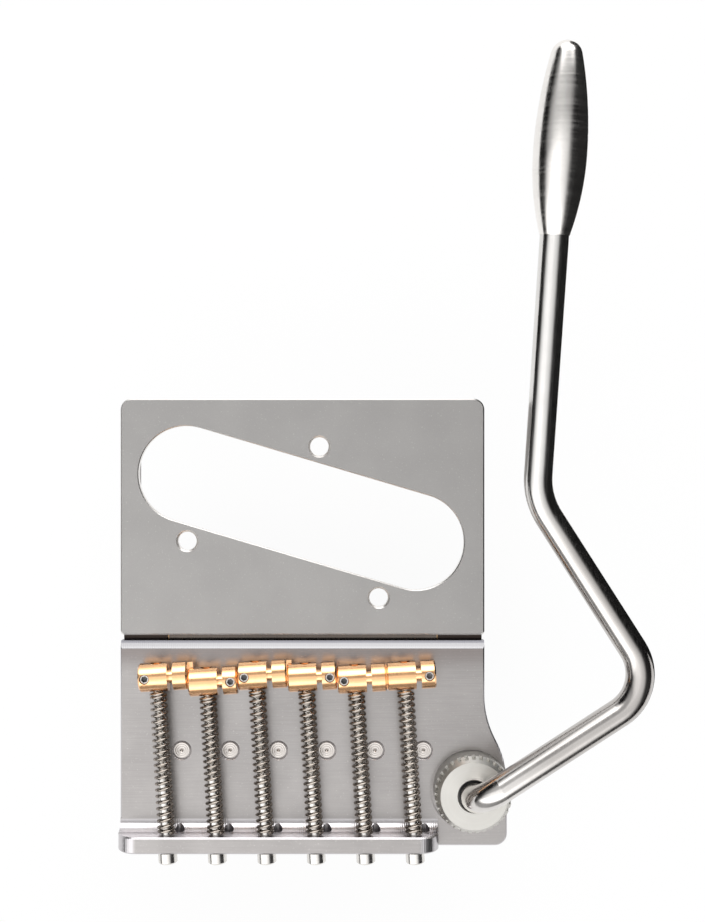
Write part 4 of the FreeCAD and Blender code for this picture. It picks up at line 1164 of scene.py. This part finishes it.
@dataclass
class MovingBridge:
    """Moving plate with its pivot pin, sustain block and the six pins that carry the block."""

    pin_spacing: float = 10.4 * MM
    pin_count: int = 6
    pin_sides: int = 48
    head_radius: float = 1.75 * MM
    head_height: float = 0.7 * MM
    shank_radius: float = 1.4 * MM
    edge: float = 0.1 * MM
    dimple_radius: float = 0.35 * MM
    dimple_depth: float = 0.25 * MM
    dimple_point: float = 0.15
    ring_pitch: float = 0.43 * MM
    ring_depth: float = 0.012 * MM
    ring_steps: int = 8

    def build(self) -> list[Piece]:
        """Dresses the moving plate and makes the pins.

        Returns:
            The pieces.
        """
        return [
            *Finishes.BRUSHED_PLATE.dress("bridge_plate"),
            *Finishes.BLOCK_STEEL.dress("sustain_block"),
            *Finishes.SCREW_STEEL.dress("pivot_pin"),
            *Finishes.BLACK_STEEL_AND_SOCKET_SHADE.dress("pivot_grub_screws"),
            *(self._pin(number) for number in range(1, self.pin_count + 1)),
        ]

    def _pin(self, number: int) -> Piece:
        """Makes a pin with the rings that the lathe's tool left on its head.

        Args:
            number: Which one, from the left.

        Returns:
            The piece.
        """
        middle = Axis.upright("block_pins")
        offset = (number - (self.pin_count + 1) / 2) * self.pin_spacing
        axis = Axis(middle.origin + Vector((offset, 0.0, 0.0)), middle.way)
        start, end = axis.span("block_pins")
        top = end - self.ring_depth
        profile = [
            (start, self.shank_radius - self.edge),
            (start + self.edge, self.shank_radius),
            (end - self.head_height, self.shank_radius),
            (end - self.head_height, self.head_radius),
            (top - self.edge, self.head_radius),
        ]
        rim = self.head_radius - self.edge
        steps = round((rim - self.dimple_radius) / self.ring_pitch) * self.ring_steps
        for step in range(steps + 1):
            share = step / steps
            wave = math.cos(TURN * step / self.ring_steps)
            profile.append((top + self.ring_depth * wave, rim - (rim - self.dimple_radius) * share))
        profile.append((end - self.dimple_depth, self.dimple_radius * self.dimple_point))
        stock = Stock(axis)
        stock.lathe(profile, self.pin_sides)
        piece = stock.piece(f"block_pin_{number}", Finishes.TURNED_PIN)
        return settle(piece, "rocker", "turned_pin", "block_pins")


@dataclass
class SaddleUnit:
    """A barrel saddle with its intonation screw and spring and its height screw."""

    number: int
    screw_thread: Thread = Thread(crest=1.2 * MM, root=1.03 * MM, pitch=0.5 * MM)
    screw_socket: HexSocket = HexSocket(across=2.0 * MM, depth=1.3 * MM, cone=0.35 * MM)
    head_radius: float = 2.0 * MM
    head_length: float = 2.3 * MM
    head_edge: float = 0.3 * MM
    head_sides: int = 48
    shank_length: float = 17.8 * MM
    tail: float = 0.3 * MM
    coil: Coil = Coil(wire=0.6 * MM, mean_radius=1.6 * MM, turns=24.0)
    height_thread: Thread = Thread(crest=1.0 * MM, root=0.8 * MM, pitch=0.4 * MM)
    height_socket: HexSocket = HexSocket(across=1.25 * MM, depth=1.2 * MM, cone=0.2 * MM)
    height_edge: float = 0.13 * MM
    foot_share: float = 0.6
    foot_play: float = 0.001 * MM

    def build(self) -> list[Piece]:
        """Dresses the saddle and makes its screws and spring.

        Returns:
            The pieces.
        """
        return [
            *Finishes.SADDLE_BRASS.dress(f"saddle_{self.number}"),
            self._screw(),
            self._spring(),
            self._height_screw(),
        ]

    def _screw(self) -> Piece:
        """Makes the threaded intonation screw with its socket head.

        Returns:
            The piece.
        """
        node = f"intonation_screw_{self.number}"
        axis = Axis.of_joint(f"intonation_turn_{self.number}")
        start, end = axis.span(node)
        under, neck = start + self.head_length, start + self.shank_length
        thread = self.screw_thread
        stock = Stock(axis)
        head = [
            stock.circle(start, self.head_radius - self.head_edge, self.head_sides),
            stock.circle(start + self.head_edge, self.head_radius, self.head_sides),
            stock.circle(under, self.head_radius, self.head_sides),
        ]
        stock.skin(head)
        self.screw_socket.sink(stock, head[0], start, Inward.FORWARD)
        stock.close(head[-1], axis.at(under))
        shank = [stock.circle(along, thread.crest, thread.count) for along in (under, neck)]
        threaded = thread.rings(stock, neck, end - self.tail)
        tip = stock.circle(end, thread.root - self.tail, thread.count)
        stock.skin([*shank, *threaded, tip])
        stock.close(shank[0], axis.at(under))
        stock.close(tip, axis.at(end))
        piece = stock.piece(f"threaded_{node}", Finishes.SCREW_STEEL)
        return settle(piece, node, "screw_steel", node)

    def _spring(self) -> Piece:
        """Makes the spring that keeps the saddle forward.

        Returns:
            The piece.
        """
        node = f"intonation_spring_{self.number}"
        axis = Axis.of_joint(f"intonation_turn_{self.number}")
        return self.coil.fit(node, axis, "rocker", f"saddle_{self.number}")

    def _height_screw(self) -> Piece:
        """Makes the set screw that the saddle stands on.

        Returns:
            The piece.
        """
        node = f"height_screw_{self.number}"
        axis = Axis.upright(node)
        start, end = axis.span(node)
        thread = self.height_thread
        stock = Stock(axis)
        foot_at = start + self.foot_play
        foot = stock.circle(foot_at, thread.root * self.foot_share, thread.count)
        threaded = thread.rings(stock, start + self.height_edge, end - self.height_edge * 2)
        neck = stock.circle(end - self.height_edge, thread.crest, thread.count)
        rim = stock.circle(end, thread.crest - self.height_edge, thread.count)
        stock.skin([foot, *threaded, neck, rim])
        stock.close(foot, axis.at(foot_at))
        self.height_socket.sink(stock, rim, end, Inward.BACK)
        piece = stock.piece(f"threaded_{node}", Finishes.SET_SCREW_STEEL)
        return settle(piece, node, "screw_steel", node)


@dataclass
class ReturnSpring:
    """One of the four springs that bring the sustain block back."""

    number: int
    coil: Coil = Coil(
        wire=1.1 * MM, mean_radius=2.3 * MM, turns=6.5, closed_turns=0.9, steps=36, count=16)

    def build(self) -> list[Piece]:
        """Makes the spring and gives it in a list."""
        node = f"return_spring_{self.number}"
        return [self.coil.fit(node, Axis.upright(node), "rocker", "base")]


@dataclass
class ArmAssembly:
    """The arm with its tip, and the socket and collar that hold it."""

    collar_centre: Pair = (36.4 * MM, -32.5 * MM)

    def build(self) -> list[Piece]:
        """Dresses the arm and its holder.

        Returns:
            The pieces.
        """
        collar_finish = replace(Finishes.COLLAR_STEEL, centre=self.collar_centre)
        return [
            *Finishes.ARM_STEEL.dress("arm_rod"),
            *Finishes.TIP_STEEL.dress("arm_tip"),
            *collar_finish.dress("knurled_collar"),
            *Finishes.SOCKET_STEEL.dress("arm_socket", "socket_nut"),
            *Finishes.SPRING_STEEL.dress("arm_retaining_ring"),
            *Finishes.NYLON.dress("arm_friction_sleeve"),
        ]


def main() -> None:
    """Builds the studio and each sub-assembly in order and reports every piece."""
    logging.basicConfig(level=logging.INFO, format="%(name)s: %(message)s")
    Studio().build()
    assemblies = [
        FixedBase(),
        MovingBridge(),
        *(SaddleUnit(number) for number in range(1, SADDLES + 1)),
        *(ReturnSpring(number) for number in range(1, RETURN_SPRINGS + 1)),
        ArmAssembly(),
    ]
    for assembly in assemblies:
        kind = type(assembly).__name__
        for piece in assembly.build():
            LOG.info("%s: %s, %d faces", kind, piece.name, len(piece.data.polygons))


if __name__ == "__main__":
    main()
